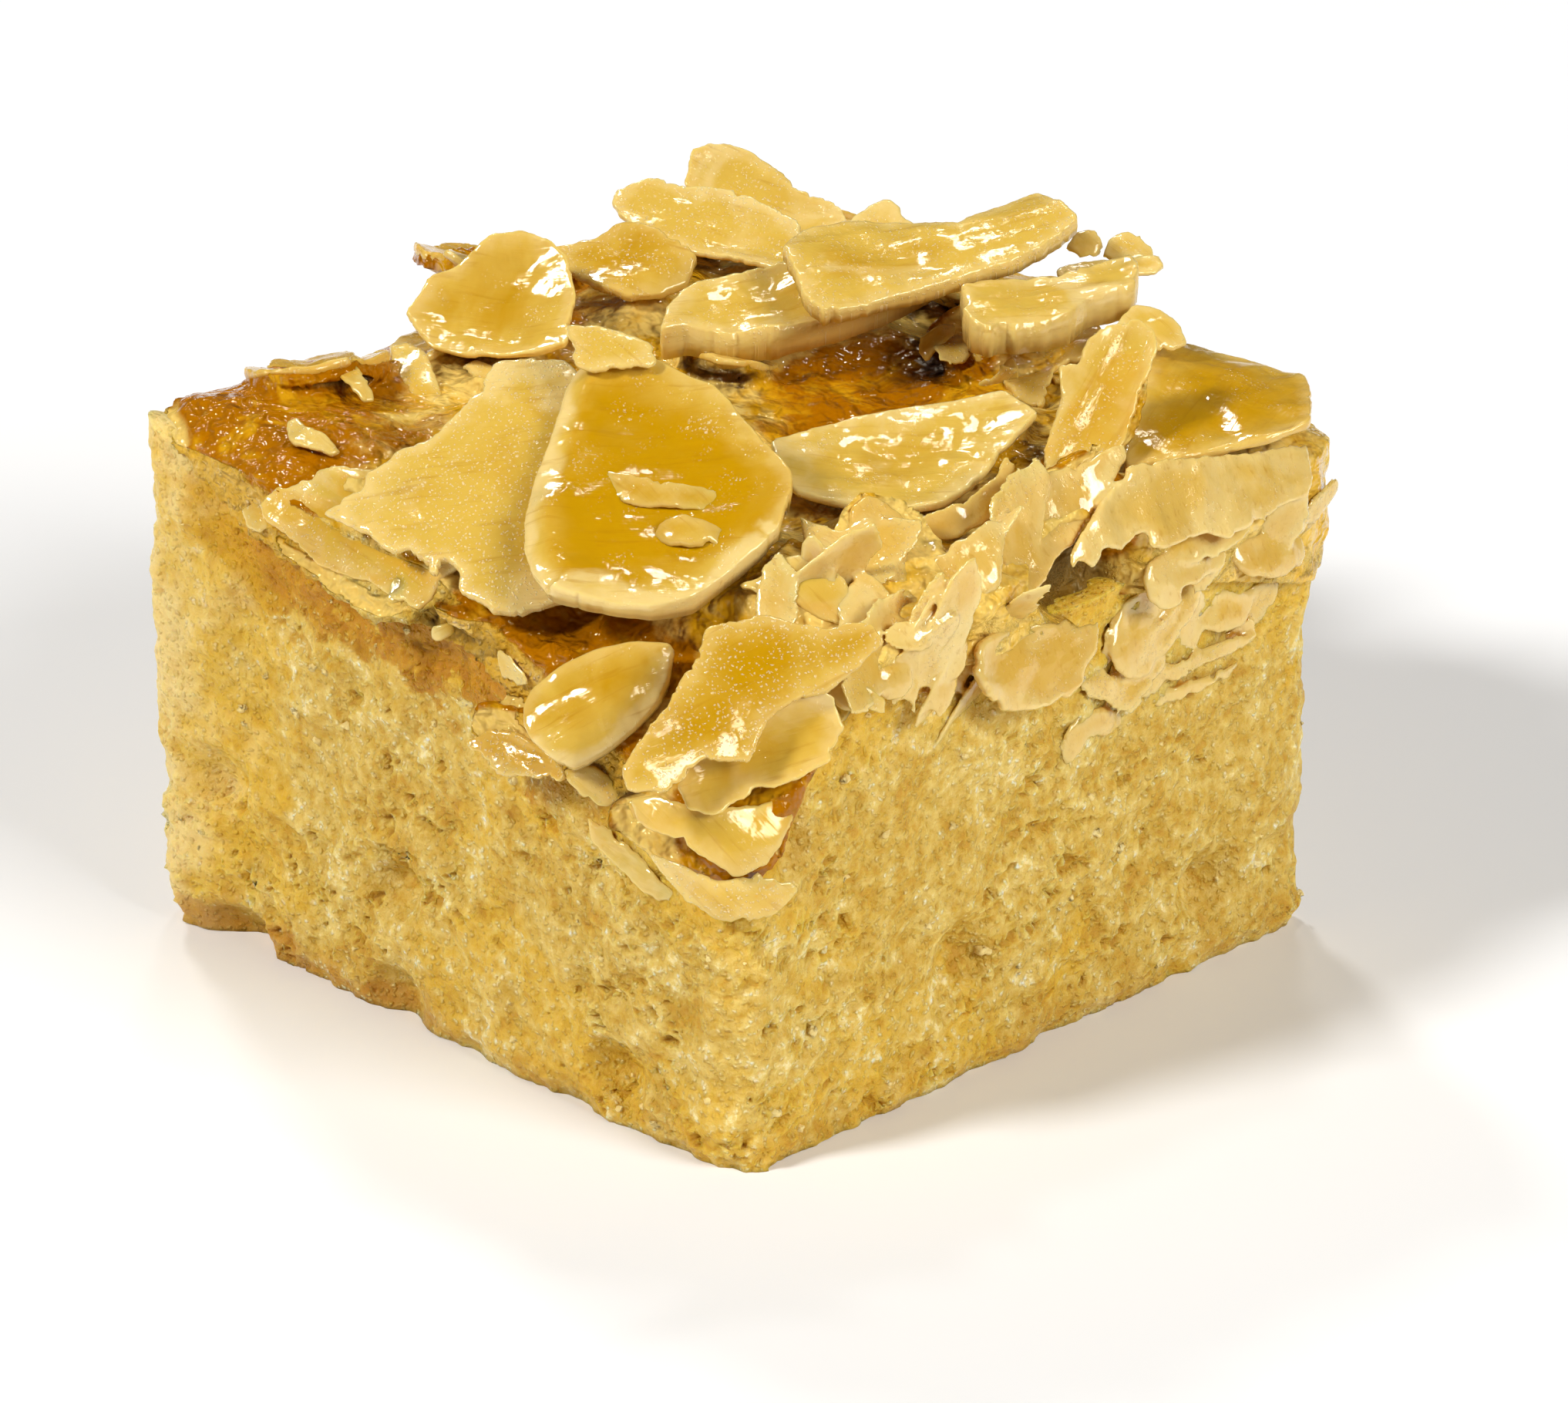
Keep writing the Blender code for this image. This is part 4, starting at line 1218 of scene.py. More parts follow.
FLAKES = (
    Flake(lean=38, rise=0.12, thickness=0.4, bend=0.5, tint=0.75, seen=(
        768, 612, 784, 606, 830, 622, 880, 630, 930, 636, 982, 641, 980, 655, 950, 661, 890, 662, 835, 660,
        800, 650, 782, 634)),
    Flake(lean=42, rise=0.15, thickness=0.5, bend=0.7, tint=0.95, frost=0.0, seen=(
        846, 694, 858, 676, 885, 669, 922, 680, 964, 700, 948, 709, 900, 712, 862, 706)),
    Flake(lean=28, rise=0.15, tint=0.3, frost=0.5, seen=(
        736, 421, 775, 424, 812, 436, 846, 448, 852, 476, 800, 482, 762, 484, 742, 474, 738, 448)),
    Flake(lean=52, facing=10, tint=0.75, seen=(
        1150, 670, 1200, 668, 1252, 650, 1290, 620, 1304, 588, 1316, 604, 1314, 650, 1306, 674, 1270, 682,
        1240, 702, 1200, 700, 1172, 686)),
    Flake(lean=50, facing=15, rise=0.25, thickness=0.6, bend=0.6, tint=0.15, frost=0.3, seen=(
        1205, 728, 1228, 708, 1252, 700, 1280, 674, 1304, 676, 1302, 722, 1296, 764, 1268, 782, 1236, 786,
        1216, 764)),
    Flake(lean=42, facing=10, rise=0.2, bend=0.4, frost=0.5, seen=(
        1036, 668, 1062, 680, 1090, 690, 1112, 700, 1118, 742, 1106, 762, 1082, 754, 1060, 734, 1044, 708)),
    Flake(lean=48, rise=0.15, thickness=0.6, bend=0.5, tint=0.35, frost=0.3, seen=(
        958, 760, 985, 750, 1008, 730, 1040, 720, 1066, 730, 1096, 752, 1108, 786, 1100, 814, 1060, 802,
        1026, 784, 990, 772)),
    Flake(lean=46, facing=10, rise=0.05, bend=0.4, tint=0.4, frost=0.2, seen=(
        1110, 742, 1130, 744, 1152, 768, 1168, 796, 1220, 802, 1236, 810, 1200, 822, 1150, 822, 1120, 806,
        1104, 776)),
    Flake(lean=60, facing=20, rise=0.2, thickness=0.5, tint=0.25, frost=0.3, seen=(
        1144, 818, 1160, 804, 1192, 804, 1208, 816, 1210, 836, 1192, 846, 1166, 846, 1150, 836)),
    Flake(facing=25, rise=0.2, bend=0.5, tint=0.35, seen=(
        1104, 876, 1128, 856, 1152, 847, 1182, 866, 1186, 886, 1176, 906, 1152, 910, 1124, 898)),
    Flake(facing=20, thickness=0.45, tint=0.45, seen=(
        1070, 902, 1098, 878, 1124, 890, 1148, 908, 1150, 926, 1118, 918, 1094, 920)),
    Flake(lean=72, facing=30, rise=0.15, thickness=0.5, frost=0.2, seen=(
        1206, 842, 1232, 826, 1250, 814, 1254, 842, 1252, 864, 1244, 880, 1212, 884, 1182, 878, 1188, 860)),
    Flake(lean=62, facing=44, rise=0.2, thickness=0.6, bend=0.5, tint=0.1, frost=0.15, seen=(
        1456, 606, 1500, 598, 1560, 594, 1640, 584, 1700, 572, 1704, 640, 1664, 656, 1620, 682, 1588, 702,
        1560, 692, 1528, 704, 1508, 714, 1486, 712, 1481, 690, 1462, 700, 1450, 717, 1426, 712, 1418, 741,
        1398, 728, 1389, 741, 1386, 722, 1396, 700, 1414, 668, 1436, 638)),
    Flake(lean=76, facing=48, rise=0.05, thickness=0.5, tint=0.25, seen=(
        1456, 773, 1468, 792, 1490, 796, 1514, 794, 1524, 818, 1514, 846, 1500, 856, 1484, 880, 1460, 880,
        1442, 868, 1438, 842, 1445, 806)),
    Flake(facing=46, rise=0.25, tint=0.1, seen=(
        1486, 726, 1504, 720, 1535, 723, 1566, 717, 1592, 712, 1588, 734, 1556, 752, 1536, 766, 1530, 786,
        1506, 794, 1488, 778, 1480, 750)),
    Flake(lean=76, facing=46, rise=-0.1, thickness=0.45, seen=(
        1556, 772, 1590, 760, 1628, 768, 1622, 792, 1610, 812, 1582, 822, 1556, 816, 1544, 796)),
    Flake(lean=70, facing=46, bend=0.4, tint=0.45, frost=0.2, seen=(
        1600, 700, 1640, 690, 1690, 690, 1696, 730, 1650, 752, 1612, 748, 1594, 726)),
    Flake(lean=84, facing=45, rise=-0.1, thickness=0.4, bend=0.4, tint=0.45, frost=0.2, seen=(
        1376, 985, 1372, 966, 1382, 944, 1398, 924, 1430, 914, 1458, 926, 1462, 948, 1432, 954, 1410, 962,
        1400, 980, 1386, 1000)),
    Flake(lean=80, facing=45, thickness=0.4, bend=0.2, tint=0.3, frost=1.0, seen=(
        1396, 858, 1412, 848, 1424, 862, 1446, 884, 1458, 908, 1440, 914, 1410, 904, 1394, 884)),
    Flake(lean=30.0, facing=10, rise=0.15, tint=0.1, seen=(
        1440, 428, 1470, 394, 1502, 400, 1526, 420, 1540, 446, 1520, 455, 1498, 458, 1480, 436)),
    Flake(lean=20, facing=10, rise=0.15, bend=0.1, tint=0.0, frost=0.0, away=9.5, seen=(
        1368, 352, 1400, 345, 1450, 339, 1500, 334, 1508, 346, 1500, 356, 1450, 362, 1400, 366, 1376, 364)),
    Flake(lean=40, facing=10, rise=0.15, bend=0.4, frost=0.2, away=11.0, seen=(
        1430, 330, 1440, 310, 1455, 303, 1476, 302, 1492, 314, 1500, 332, 1470, 340, 1444, 338)),
    Flake(lean=40, rise=0.15, bend=0.4, tint=0.4, away=11.5, seen=(
        1384, 322, 1396, 302, 1420, 299, 1430, 312, 1434, 330, 1402, 334)),
    Flake(lean=40, rise=0.15, tint=0.15, frost=0.2, away=14.0, seen=(
        1092, 300, 1112, 280, 1130, 267, 1150, 258, 1164, 266, 1172, 286, 1190, 296, 1180, 320, 1110, 322)),
    Flake(lean=22, facing=-10, thickness=0.45, bend=0.4, tint=0.3, frost=0.8, seen=(
        505, 448, 528, 440, 552, 456, 562, 482, 572, 512, 592, 526, 604, 542, 592, 556, 558, 550, 534, 530,
        518, 504, 510, 474)),
    Flake(lean=20, facing=-10, rise=0.25, thickness=0.6, tint=0.35, frost=0.5, seen=(
        372, 548, 386, 545, 398, 560, 422, 570, 442, 586, 428, 592, 398, 586, 376, 576)),
    Flake(lean=20, facing=-10, rise=0.05, thickness=0.4, tint=0.5, frost=0.2, seen=(
        430, 470, 450, 458, 470, 486, 486, 516, 470, 520, 450, 500, 436, 486)),
    Flake(lean=60, facing=-45, thickness=0.45, bend=0.2, frost=0.6, seen=(
        314, 662, 330, 652, 348, 660, 350, 680, 338, 692, 322, 684)),
    Flake(lean=25, facing=-10, thickness=0.45, frost=0.6, seen=(
        600, 476, 616, 468, 640, 478, 650, 492, 632, 502, 616, 496)),
    Flake(thickness=0.5, bend=1.3, tint=0.6, on_cake=True, seen=(
        816, 1036, 857, 1033, 905, 1049, 970, 1046, 1020, 1036, 1030, 1064, 1012, 1096, 994, 1122, 954,
        1139, 916, 1114, 878, 1088, 830, 1071)),
    Flake(lean=84, rise=0.05, thickness=0.4, bend=1.4, tint=0.45, frost=0.6, on_cake=True, seen=(
        840, 1118, 878, 1122, 932, 1140, 981, 1130, 1020, 1140, 1036, 1160, 1016, 1178, 986, 1196, 932,
        1190, 884, 1164)),
    Flake(lean=80, facing=-30, thickness=0.35, bend=0.2, tint=0.3, seen=(
        760, 1060, 800, 1084, 840, 1118, 860, 1146, 900, 1172, 880, 1180, 840, 1158, 800, 1120, 766, 1090)),
    Flake(lean=74, facing=-20, thickness=0.4, tint=0.5, frost=0.2, seen=(
        730, 1000, 770, 990, 800, 1012, 806, 1034, 786, 1048, 752, 1030)),
    Flake(lean=80, facing=45, thickness=0.35, bend=0.2, tint=0.4, frost=0.3, seen=(
        1500, 870, 1540, 850, 1590, 826, 1634, 822, 1610, 842, 1560, 862, 1520, 886)),
    Flake(lean=80, facing=45, thickness=0.35, bend=0.2, tint=0.35, frost=0.2, seen=(
        1490, 904, 1530, 886, 1580, 866, 1612, 856, 1590, 880, 1540, 902, 1500, 920)),
)


@dataclass(frozen=True)
class ShardField:
    """A patch of the topping, as the camera sees it, that is strewn with thin broken flakes.

    Heading is their usual way in the camera's frame, in degrees over level, and wander is how far from it
    they turn. Glazed says whether the glaze runs them together.
    """

    corners: tuple
    count: int
    lengths: tuple
    heading: float
    wander: float = 50.0
    tints: tuple = (0.0, 0.6)
    glazed: bool = False


HOLE = (1336, 716, 1366, 690, 1420, 690, 1470, 712, 1486, 760, 1478, 806, 1400, 822, 1340, 812)
GLAZED_AREA = (1030, 640, 1180, 655, 1350, 590, 1460, 560, 1760, 540, 1760, 880, 1480, 1010, 1180, 980,
               1100, 880, 1060, 800)
SHARD_FIELDS = (
    ShardField(count=26, lengths=(3.6, 7.6), heading=58, wander=36, tints=(0.0, 0.35), glazed=True, corners=(
        1040, 670, 1300, 620, 1350, 690, 1320, 830, 1400, 900, 1280, 930, 1100, 880, 1000, 780)),
    ShardField(count=20, lengths=(3.4, 7.0), heading=40, wander=30, tints=(0.0, 0.25), glazed=True, corners=(
        1490, 700, 1710, 640, 1710, 800, 1560, 860, 1420, 930, 1400, 860, 1480, 810)),
    ShardField(count=4, lengths=(3.0, 5.0), heading=70, wander=30, tints=(0.3, 0.9), corners=(
        1190, 440, 1290, 450, 1345, 560, 1330, 630, 1260, 640)),
    ShardField(count=4, lengths=(1.6, 2.8), heading=20, corners=(
        470, 640, 700, 780, 700, 960, 560, 900)),
)


@dataclass
class Heap:
    """The almonds: the large slices, one piece each, and the small slices and chips in the caramel."""

    form: CakeForm
    view: View
    chip_thickness: float = 0.9
    chip_cells: tuple = (3, 2)
    chip_shape: tuple = (0.45, 0.75)
    chip_kept: tuple = (0.25, 0.5)
    chip_bends: tuple = ((-0.4, 0.6), (-0.3, 0.5))
    chip_rows: int = 6
    chip_stray: tuple = (0.2, 0.8)
    top_chip_lengths: tuple = (4.5, 9.5)
    top_chip_leans: tuple = (5.0, 40.0)
    top_chip_rises: tuple = (0.0, 1.1)
    chips_on_each_wall: int = 8
    wall_chip_lengths: tuple = (4.0, 7.0)
    wall_chip_leans: tuple = (25.0, 80.0)
    wall_chip_inset: float = 0.5
    wall_chip_floor: float = 1.5
    wall_chip_margin: float = 2.0
    wall_chip_facings: tuple = (-25.0, 25.0)
    wall_chip_headings: tuple = (-40.0, 40.0)
    bare_spots: tuple = (((-29.7, 0.0), 15.0), ((7.0, 1.5), 6.0))
    nearest_chip: float = 4.0
    most_shift: float = 2.5
    step: float = 0.1
    touching: float = 0.04
    flake_numbers: int = 100
    shard_numbers: int = 300
    shard_tries: int = 6
    shard_corners: int = 8
    shard_corner_range: tuple = (0.72, 1.1)
    shard_widths: tuple = (0.3, 0.6)
    shard_thickness: tuple = (0.26, 0.4)
    shard_bend: tuple = (-0.3, 0.6)
    shard_tilt: float = 0.3
    shard_rise: float = 0.05
    crumb_sink: float = 0.3
    glaze_reach: float = 0.6
    fused_voxel: float = 0.13
    fused_smoothing: int = 4
    blended: int = 8
    # Reach and start of the rays for the painted shade in the fused flakes' creases.
    crease_reach: float = 2.5
    crease_start: float = 0.06
    looks_round: int = 8
    slicer: Slicer = field(default_factory=Slicer)

    def solids(self, *names: str) -> BVHTree:
        """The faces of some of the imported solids, in millimetres over the cake's own middle."""
        return tree_of([frame["nodes"][name] for name in names], self.form.outline_shift)

    def glaze(self, draft: MeshDraft, topping: BVHTree) -> None:
        """Paints how close each point of a draft lies to the caramel, as a share from 0 to 1, for the
        caramel's coat on the flakes and for painted shade where they meet it.
        """
        shares = []
        for place in map(Vector, np.concatenate(draft.points).tolist()):
            near, normal, _, gap = topping.find_nearest(place, self.glaze_reach)
            inside = near is not None and (place - near).dot(normal) < 0
            shares.append(0.0 if near is None else 1.0 if inside else 1.0 - gap / self.glaze_reach)
        draft.paint["glaze"] = [np.array(shares)]

    def large(self) -> list[bpy.types.Object]:
        """Makes each large slice where its solid lies."""
        made = []
        topping = self.solids("tosca_topping")
        for number, almond in enumerate(LARGE_SLICES):
            low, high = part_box(almond.name)
            coarse = almond.sheet(number) + self.form.outline_shift
            off = (low + high) / 2 / MM - Vector((coarse.min(axis=0) + coarse.max(axis=0)) / 2)
            way = almond.pose().to_3x3() @ UP
            draft = MeshDraft()
            moved = way * off.dot(way) - self.view.back() * almond.pressed
            almond.draw(draft, self.slicer, self.view, number, moved)
            self.glaze(draft, topping)
            obj = draft.make("almond_" + almond.name, self.form.outline_shift)
            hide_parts(almond.name)
            made.append(obj)
        return made

    def chip(self, place: tuple, lengths: tuple, heading: float, lean: float, facing: float,
             draw: random.Random) -> AlmondSlice:
        """A small broken slice of random size."""
        length = draw.uniform(*lengths)
        size = (length, length * draw.uniform(*self.chip_shape))
        cuts = ((draw.uniform(0, 360), size[1] * draw.uniform(*self.chip_kept)),)
        bend = tuple(draw.uniform(*ends) for ends in self.chip_bends)
        return AlmondSlice("chip", place, size, heading, lean, facing, bend, cuts, self.chip_thickness,
                           self.chip_cells, tint=0.35 + 0.5 * math.sin(length * 9.0) ** 2)

    def scattered(self) -> list[AlmondSlice]:
        """The chips: rows over the top, and some hung over each wall."""
        side, rows = self.form.side, self.chip_rows
        draw = random.Random(self.form.seed)
        chips = []
        for cell in range(rows**2):
            x, y = ((at + draw.uniform(*self.chip_stray)) / rows * side - side / 2
                    for at in (cell % rows, cell // rows))
            place = to_diagonals(x, y, self.form.crown(x, y) + draw.uniform(*self.top_chip_rises))
            facing, heading = draw.uniform(-180, 180), draw.uniform(0, 180)
            lean = draw.uniform(*self.top_chip_leans)
            chips.append(self.chip(place, self.top_chip_lengths, heading, lean, facing, draw))
        for count in range(4 * self.chips_on_each_wall):
            number, wall = divmod(count, 4)
            along = (number + draw.uniform(*self.chip_stray)) / self.chips_on_each_wall - 0.5
            spot = Vector((side / 2 - self.wall_chip_inset, along * (side - 2 * self.wall_chip_margin), 0))
            spot.rotate(Matrix.Rotation(math.pi / 2 * wall, 3, "Z"))
            low = self.form.sponge_top(spot.x, spot.y) + self.wall_chip_floor
            spot.z = draw.uniform(low, self.form.crown(spot.x, spot.y))
            facing = 45 + 90 * wall + draw.uniform(*self.wall_chip_facings)
            heading = facing + draw.uniform(*self.wall_chip_headings)
            lean = draw.uniform(*self.wall_chip_leans)
            chips.append(self.chip(to_diagonals(*spot), self.wall_chip_lengths, heading, lean, facing, draw))
        return [one for one in chips if not self.is_bare(*one.place[:2])]

    def is_bare(self, across: float, away: float) -> bool:
        """Whether a place in the heap shows smooth caramel without chips."""
        return any(math.hypot(across - spot[0], away - spot[1]) < reach for spot, reach in self.bare_spots)

    def settled(self, almond: AlmondSlice, number: int, tree: BVHTree) -> Optional[Vector]:
        """How far a small slice was moved on its way into the topping's solid.

        Args:
            almond: The slice at its named place.
            number: Its number.
            tree: The solid's faces.

        Returns:
            The move after which most of its rim lies in the solid's skin, or None if none does.
        """
        last, end = almond.cells
        edge = [Vector(spot) for at, spot in enumerate(almond.sheet(number))
                if at % (last + 1) in (0, last) or at // (last + 1) in (0, end)]
        way = almond.pose().to_3x3() @ UP if almond in SMALL_SLICES else -UP
        best, found = None, 2
        for step in range(round(self.most_shift / self.step) + 1):
            move = way * step * self.step
            hits = sum(tree.find_nearest(spot + move, self.touching)[0] is not None for spot in edge)
            if hits > found:
                best, found = move, hits
        return best

    def shard(self, draft: MeshDraft, strewn: ShardField, place: Vector, normal: Vector, number: int,
              draw: random.Random) -> None:
        """Adds one thin broken flake that lies in the glaze.

        Args:
            draft: What it is added to.
            strewn: The patch that it belongs to.
            place: Where it lies.
            normal: The normal of what carries it.
            number: Moves its noise.
            draw: Random numbers.
        """
        tilt = Vector([draw.uniform(-1, 1) for _ in range(3)]) * self.shard_tilt
        up = (normal + tilt).normalized()
        turn = math.radians(strewn.heading + draw.uniform(-strewn.wander, strewn.wander))
        ahead, right = self.view.axes()
        along = right * math.cos(turn) + right.cross(ahead) * math.sin(turn)
        along = (along - up * along.dot(up)).normalized()
        pose = Matrix((along, up.cross(along), up)).transposed().to_4x4()
        pose.translation = place + up * self.shard_rise
        length, thickness = draw.uniform(*strewn.lengths), draw.uniform(*self.shard_thickness)
        width, bend = length * draw.uniform(*self.shard_widths), draw.uniform(*self.shard_bend)
        corners = []
        for step in range(self.shard_corners):
            angle = (step + draw.uniform(-0.3, 0.3)) * 2 * math.pi / self.shard_corners
            corners.append((math.cos(angle) * length / 2 * draw.uniform(*self.shard_corner_range),
                            math.sin(angle) * width / 2 * draw.uniform(*self.shard_corner_range)))

        def lift(places: np.ndarray) -> np.ndarray:
            """Height over the shard's plane."""
            return bend * (BEND_LEVEL - (places[:, 0] * 2 / length) ** 2)

        tint, frost = draw.uniform(*strewn.tints), draw.random() ** 2
        self.slicer.draw(draft, np.array(corners), pose, lift, thickness, number, tint, frost)

    def shards(self, draft: MeshDraft, glazed: MeshDraft, everything: BVHTree, topping: BVHTree) -> int:
        """Adds the strewn shards to the drafts of loose and glazed flakes, and returns how many there are."""
        start, made = self.view.place(), 0
        carrier, hole = self.solids("tosca_topping", "sponge"), spots_of(HOLE)
        for strewn in SHARD_FIELDS:
            draw = random.Random(self.form.seed + strewn.count)
            loop = spots_of(strewn.corners)
            low, high = loop.min(axis=0), loop.max(axis=0)
            placed = 0
            for _ in range(strewn.count * self.shard_tries):
                spot = np.array([[draw.uniform(low[0], high[0]), draw.uniform(low[1], high[1])]])
                if placed == strewn.count or not is_inside(spot, loop)[0] or is_inside(spot, hole)[0]:
                    continue
                way = self.view.towards(*spot[0]).normalized()
                place, normal, _, gap = carrier.ray_cast(start, way)
                if place is None or everything.ray_cast(start, way)[3] < gap - 0.05:
                    continue
                if topping.find_nearest(place, 0.1)[0] is None:
                    place = place - normal * self.crumb_sink
                target = glazed if strewn.glazed else draft
                self.shard(target, strewn, place, normal, self.shard_numbers + made, draw)
                placed, made = placed + 1, made + 1
        return made

    def fused(self, draft: MeshDraft) -> bpy.types.Object:
        """Makes flakes that the glaze has run together, with everything painted on them kept and painted
        shade added in their creases.
        """
        shift = self.form.outline_shift
        apart = draft.make("apart", shift)
        points, normals, faces = remeshed(apart, self.fused_voxel, self.fused_smoothing, shift)
        before = np.concatenate(draft.points)
        nearest = KDTree(len(before))
        for index, place in enumerate(before.tolist()):
            nearest.insert(place, index)
        nearest.balance()
        spots = points.tolist()
        near = np.array([[found[1] for found in nearest.find_n(spot, self.blended)] for spot in spots])
        paint = {name: np.concatenate(values)[near].mean(axis=1) for name, values in draft.paint.items()}
        paint["grain"] = points
        own, ways = BVHTree.FromPolygons(spots, faces), spiral_ways(self.looks_round)
        # Painted shade: the share of nearby ways that the fused flakes hide from each point.
        creases = []
        for spot, normal in zip(map(Vector, spots), map(Vector, normals.tolist())):
            start = spot + normal * self.crease_start
            creases.append(hidden_share(own, start, normal, self.crease_reach, ways))
        whole = MeshDraft()
        whole.add(points, faces, crease=np.array(creases), **paint)
        return whole.make("glazed_flakes", shift)

    def small(self) -> tuple[bpy.types.Object, bpy.types.Object]:
        """Makes the small slices and chips that show: the loose ones, and those run together by the glaze."""
        draft, glazed = MeshDraft(), MeshDraft()
        area = spots_of(GLAZED_AREA)
        topping, cake = self.solids("tosca_topping"), self.solids("tosca_topping", "sponge")
        tree = self.solids(*frame["nodes"])
        kept = 0
        for number, almond in enumerate(SMALL_SLICES + tuple(self.scattered()), len(LARGE_SLICES)):
            move = self.settled(almond, number, tree)
            if move is not None and (almond in SMALL_SLICES or almond.place[1] > self.nearest_chip):
                run = almond.seen and is_inside(spots_of(almond.seen).mean(axis=0)[None], area)[0]
                almond.draw(glazed if run else draft, self.slicer, self.view, number, move)
                kept += 1
        for number, flake in enumerate(FLAKES, self.flake_numbers):
            target = glazed if is_inside(flake.middle()[None], area)[0] else draft
            carrier = cake if flake.on_cake else tree
            kept += flake.draw(target, self.slicer, self.view, number, carrier)
        kept += self.shards(draft, glazed, tree, topping)
        self.glaze(draft, topping)
        self.glaze(glazed, topping)
        LOG.info("%d small slices, flakes and shards", kept)
        return draft.make("almond_chips", self.form.outline_shift), self.fused(glazed)


@dataclass
class Caramel:
    """The poured caramel, which has soaked round the small slices."""

    form: CakeForm
    node: str = "tosca_topping"
    voxel: float = 0.24
    smoothing: int = 5
    looks_round: int = 10
    sight: float = 5.0
    sight_start: float = 0.08
    # shade_way and shade add a painted shadow where a large slice hangs over the caramel.
    shade_way: tuple = (-0.3, -0.1, 0.95)
    shade: float = 0.35
    thin_reach: float = 1.6
    plate_range: tuple = (0.12, 0.34)
    plate_shrink: float = 0.25
    crumbly_rise: tuple = (1.5, 5.0)
    corner_glaze: tuple = (25.5, 27.5)
    amber_spots: tuple = (((-30.0, 0.0), 17.5), ((7.0, 2.0), 8.0), ((-10.0, -21.0), 8.5), ((17.0, -9.0), 4.0),
                          ((-13.0, 13.0), 7.0), ((0.0, -29.5), 5.0))
    amber_drift: float = 2.0
    amber_noise: tuple = (4.0, 3, 6.6)
    rough_noise: tuple = (1.1, 3, 4.4)
    granular_noise: tuple = (1.0, 4, 5.5, 0.5)
    view: View = View()
    hole_reach: float = 3.0
    hole_far: float = 5.0
    hole_depth: float = 2.6
    hole_way: tuple = (-0.9, 0.2, -0.2)
    hidden_inset: float = 1.5
    hidden_rise: float = 0.9

    def solid(self) -> bpy.types.Object:
        """A copy of the topping's solid, with its split points joined."""
        mesh = frame["nodes"][self.node].data.copy()
        mesh.name = "caramel"
        mesh.materials.clear()
        obj = bpy.data.objects.new("caramel", mesh)
        bpy.context.scene.collection.objects.link(obj)
        weld = obj.modifiers.new("Weld", "WELD")
        weld.merge_threshold = 1e-6
        return obj

    def hole(self, points: np.ndarray, everything: BVHTree) -> np.ndarray:
        """How far each point lies in the dark cavity between the flakes, as a share from 0 to 1."""
        way = self.view.towards(*spots_of(HOLE).mean(axis=0)).normalized()
        offs = points - np.array(everything.ray_cast(self.view.place(), way)[0])
        beside = np.linalg.norm(offs - (offs @ np.array(way))[:, None] * np.array(way), axis=1)
        within = np.linalg.norm(offs, axis=1) < self.hole_far
        return ramp(-beside, -self.hole_reach, -self.hole_reach * 0.55) * within

    def amber(self, points: np.ndarray) -> np.ndarray:
        """How far each point lies in a patch of bare amber caramel, as a share from 0 to 1."""
        drift = self.amber_drift * noise_at(points, *self.amber_noise)
        across, away, _ = to_diagonals(*points.T)
        amber = np.zeros(len(points))
        for (spot_across, spot_away), reach in self.amber_spots:
            gaps = np.hypot(across - spot_across, away - spot_away)
            amber = np.maximum(amber, ramp(drift - gaps, -reach * 1.05, -reach * 0.6))
        return amber

    def build(self) -> bpy.types.Object:
        """Makes the caramel's mesh, without the faces that lie inside the sponge."""
        points, normals, faces = remeshed(self.solid(), self.voxel, self.smoothing, self.form.outline_shift)
        everything = BVHTree.FromPolygons(points.tolist(), faces)
        # deep is painted shade: the share of the sky hidden from each point, with a painted shadow under the
        # large slices.
        thin, deep = self.seen(points, normals, everything)
        plate = ramp(thin, *self.plate_range)
        half = self.form.side / 2
        lows = np.array([self.form.sponge_top(x, y) for x, y in points[:, :2].clip(-half, half)])
        outermost = np.abs(points[:, :2]).max(axis=1)
        wall = ramp(outermost, half - 1.8, half - 0.6) * ramp(1.0 - normals[:, 2], 0.1, 0.6)
        glazed = ramp(points[:, 0], half - 4.0, half - 1.0) * ramp(points[:, 1], -half - 2.0, -half + 3.0)
        low = 1.0 - ramp(points[:, 2] - lows, *self.crumbly_rise)
        crumbly = wall * (1.0 - plate) * low * (1.0 - 0.75 * glazed)
        crumbly *= 1.0 - 0.85 * ramp(-to_diagonals(*points.T)[1], *self.corner_glaze)
        amber, sunk = self.amber(points), self.hole(points, everything)
        rough = 0.12 * noise_at(points, *self.rough_noise) + 0.03
        granular = 0.22 * noise_at(points, *self.granular_noise) - 0.2
        # The sunk cavity between the flakes is also painted with shade.
        deep = np.maximum(deep * (1.0 - sunk), 0.6 * sunk)
        lifted = (rough + granular * crumbly) * (1.0 - plate) - self.plate_shrink * plate
        points += normals * lifted[:, None]
        points += np.array(self.hole_way) * (sunk * self.hole_depth)[:, None]
        hidden = (normals[:, 2] < -0.3) & (points[:, 2] < lows + self.hidden_rise)
        hidden &= np.abs(points[:, :2]).max(axis=1) < half - self.hidden_inset
        faces = [face for face in faces if not all(hidden[index] for index in face)]
        used = np.unique([index for face in faces for index in face])
        fresh = np.full(len(points), -1)
        fresh[used] = np.arange(len(used))
        faces = [tuple(fresh[list(face)].tolist()) for face in faces]
        paint = {"thin": thin, "deep": deep, "crumbly": crumbly, "amber": amber, "glazed": glazed}
        draft = MeshDraft()
        draft.add(points[used], faces, **{name: values[used] for name, values in paint.items()})
        return draft.make("caramel_glaze", self.form.outline_shift)

